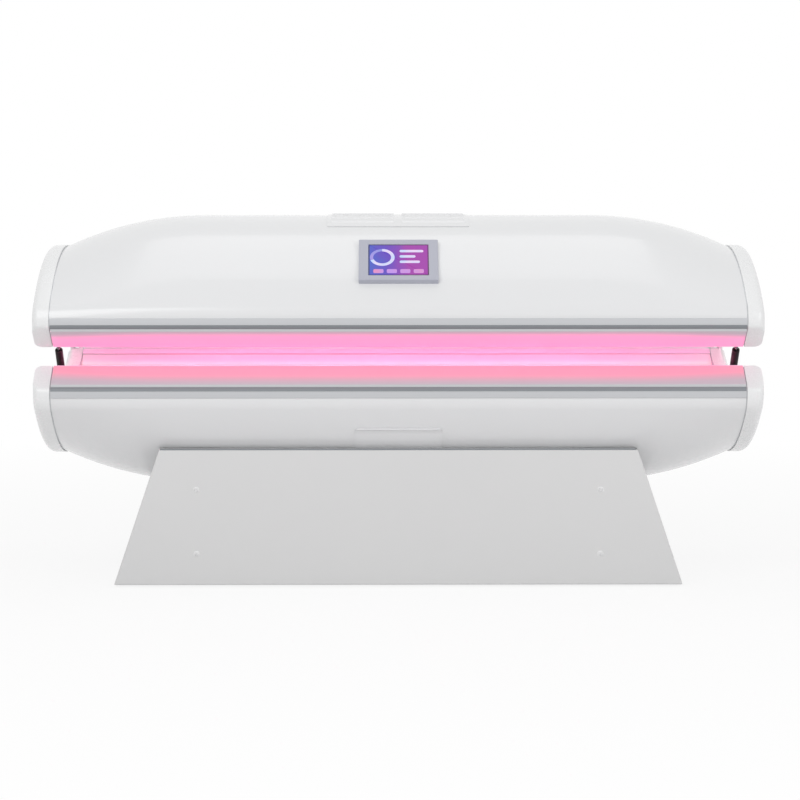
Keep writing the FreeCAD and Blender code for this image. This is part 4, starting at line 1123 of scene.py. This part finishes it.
def socket_screw(bm):
    """Upright button-head screw with a hexagon socket."""
    rim = bmesh.ops.create_circle(bm, segments=head_sides, radius=head_radius)["verts"]
    foot = edges_among(rim)
    wall = pull(bm, foot, (0, 0, head_wall))
    shoulder = pull(bm, edges_among(wall), (0, 0, head_height - head_wall))
    bmesh.ops.scale(bm, vec=(head_taper, head_taper, 1), verts=shoulder)
    socket = bmesh.ops.create_circle(bm, segments=6, radius=socket_radius,
                                     matrix=Matrix.Translation((0, 0, head_height)))["verts"]
    mouth = edges_among(socket)
    bmesh.ops.bridge_loops(bm, edges=edges_among(shoulder) + mouth)
    pit = pull(bm, mouth, (0, 0, -socket_depth))
    bmesh.ops.edgeloop_fill(bm, edges=edges_among(pit))
    bmesh.ops.edgeloop_fill(bm, edges=foot)


def cup_washer(bm):
    """Upright conical washer that rings a screw head."""
    ring = [bm.verts.new(spot) for spot in ((cup_inner, 0, 0), (cup_inner, 0, cup_height), (cup_outer, 0, 0))]
    edges = [bm.edges.new(pair) for pair in zip(ring, ring[1:] + ring[:1])]
    bmesh.ops.spin(bm, geom=ring + edges, cent=(0, 0, 0), axis=Z, angle=2 * math.pi, steps=cup_sides,
                   use_merge=True)


def put_screw(bm, spot, turn, *parts):
    """Draw parts of a screw upright and move them to a spot, turned."""
    old = set(bm.verts)
    for part in parts:
        part(bm)
    new = [vert for vert in bm.verts if vert not in old]
    bmesh.ops.transform(bm, matrix=Matrix.Translation(spot) @ turn, verts=new)


def cap_screws(half):
    """Screws in the sinks of both caps of a half."""
    bm = bmesh.new()
    for end in (-1, 1):
        for y, rise in cap_screw_spots:
            put_screw(bm, (end * (half_length - sink_depth), y, rise), turned(90 * end, "Y"), socket_screw)
    stands_for(f"{half}_cap_screw_heads", bm, f"{half}_cap_screws", half)


def panel_screws():
    """Screws of the front and rear panels in their cup washers."""
    panel_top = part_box("stand_front_panel")[1].z
    bm = bmesh.new()
    for side in (-1, 1):
        for x in (-panel_screw_place, panel_screw_place):
            for z in (panel_bottom + panel_screw_above_bottom, panel_top - panel_screw_below_top):
                put_screw(bm, (x, side * panel_face, z), turned(-90 * side, "X"), socket_screw, cup_washer)
    stands_for("panel_screw_heads", bm, "panel_screws")


# Machined and folded pieces, with their edges broken

flat_angle = 0.5
fold_angle = 40.0
break_steps = 2
edge_breaks = {
    "hinge_posts": 0.003, "hinge_arms": 0.002, "hinge_pins": 0.001, "hinge_bushes": 0.0004,
    "spring_cylinder_left": 0.0015, "spring_cylinder_right": 0.0015,
    "spring_rod_left": 0.0012, "spring_rod_right": 0.0012,
    "upper_spring_studs": 0.0008, "lower_spring_studs": 0.0008,
    "rear_light_shield": 0.0008, "stand_side_panels": 0.0006,
    "stand_legs": 0.001, "stand_floor_frame": 0.001, "stand_feet": 0.002,
    "power_box": 0.0015, "power_inlet": 0.0008, "switch_rocker": 0.0008,
    "canopy_fan_frames": 0.0015, "base_fan_frames": 0.0015,
    "canopy_fan_rotor_left": 0.0008, "canopy_fan_rotor_right": 0.0008,
    "base_fan_rotor_left": 0.0008, "base_fan_rotor_right": 0.0008,
}


def broken_edges(node, size):
    """Copy of a CAD node with small rounds on its edges."""
    bm = bmesh.new()
    bm.from_mesh(frame["nodes"][node].data)
    bmesh.ops.remove_doubles(bm, verts=bm.verts, dist=weld)
    bmesh.ops.dissolve_limit(bm, angle_limit=math.radians(flat_angle), verts=bm.verts, edges=bm.edges)
    for face in bm.faces:
        face.material_index = 0
    folds = [edge for edge in bm.edges if len(edge.link_faces) == 2
             and edge.calc_face_angle(0.0) > math.radians(fold_angle)]
    round_off(bm, folds, size, break_steps, clamp=True)
    stands_for(f"{node}_finished", bm, node, sharp=fold_angle)


# All pieces

for half in ("canopy", "base"):
    skin(half)
    for side in ("left", "right"):
        end_cap(half, side)
    rails(half)
    tunnel_sheet(f"{half}_clear_sheet", half, f"{half}_acrylic", *acrylic_sheet)
    tunnel_sheet(f"{half}_curved_tray", half, f"{half}_led_tray", *tray_sheet)
    led_boards(half)
    vent_grille(half)
    cap_screws(half)
access_cover()
screen_bezel()
display()
for side in ("front", "rear"):
    stand_panel(side)
panel_screws()
for node, size in edge_breaks.items():
    broken_edges(node, size)

# Finishes of the CAD nodes, which show where no piece stands for them

for name, node in frame["nodes"].items():
    node.data.materials.clear()
    node.data.materials.append(finishes[slot_of[name]])

# Stage, light and camera

floor_size = 60.0
floor_near = 1.2
floor_far = 4.0
floor_white = (0.86, 1.0)
sky_level = (0.56, 1.0)
# Place, spot aimed at, size and power of each lamp
softboxes = {
    "key": ((-2.6, -4.2, 3.6), (0, 0, 0.7), 3.2, 80),
    "fill": ((3.4, -3.6, 2.4), (0, 0, 0.6), 2.6, 48),
    "top": ((0.0, 0.6, 4.4), (0, 0, 0.9), 3.0, 22),
}
camera_lens = 116.03
camera_sensor = 36.0
camera_place = (-0.0543, -7.4622, 1.1112)
camera_tilt = -0.0830
camera_turn = -0.0082


def in_plain_sight(tree):
    """1 for rays from the camera, off gloss or through glass, and 0 for the rest."""
    path = tree.nodes.new("ShaderNodeLightPath").outputs
    seen = reckon(tree, "MAXIMUM", path["Is Camera Ray"], path["Is Glossy Ray"])
    return reckon(tree, "MAXIMUM", seen, path["Is Transmission Ray"])


def white_floor():
    """Pale floor that keeps the shadow near the bed and fades to white further off."""
    finish, tree, shader = new_finish("pale_floor", Base_Color=(0.88, 0.88, 0.88), Roughness=0.9)
    white = tree.nodes.new("ShaderNodeEmission")
    distance = add_node(tree, "VectorMath", Vector=object_place(tree))
    distance.operation = "LENGTH"
    fade = graded(tree, distance.outputs["Value"], floor_near, floor_far, *floor_white, curve="LINEAR")
    share = reckon(tree, "MULTIPLY", fade, in_plain_sight(tree))
    mix = tree.nodes.new("ShaderNodeMixShader")
    feed_in_order(tree, mix, share, shader.outputs["BSDF"], white.outputs["Emission"])
    set_inputs(tree, tree.nodes["Material Output"], Surface=mix.outputs["Shader"])
    return finish


floor_mesh = bmesh.new()
bmesh.ops.create_grid(floor_mesh, x_segments=1, y_segments=1, size=floor_size)
floor_data = bpy.data.meshes.new("floor")
floor_mesh.to_mesh(floor_data)
floor_mesh.free()
floor_data.materials.append(white_floor())
floor = add_object("floor", floor_data)

world = bpy.data.worlds.new("studio")
scene.world = world
world.use_nodes = True
sky = world.node_tree
brightness = graded(sky, in_plain_sight(sky), 0.0, 1.0, *sky_level, curve="LINEAR")
set_inputs(sky, sky.nodes["Background"], Color=(1, 1, 1), Strength=brightness)

for name, (place, target, size, power) in softboxes.items():
    lamp = bpy.data.lights.new(name, "AREA")
    lamp.shape = "SQUARE"
    lamp.size = size
    lamp.energy = power
    holder = add_object(name, lamp)
    holder.location = place
    holder.rotation_euler = (Vector(target) - Vector(place)).to_track_quat("-Z", "Y").to_euler()
    holder.visible_camera = False

camera_data = bpy.data.cameras.new("camera")
camera_data.lens = camera_lens
camera_data.sensor_width = camera_sensor
camera = add_object("camera", camera_data)
camera.location = camera_place
camera.rotation_euler = (math.pi / 2 + camera_tilt, 0, camera_turn)
scene.camera = camera
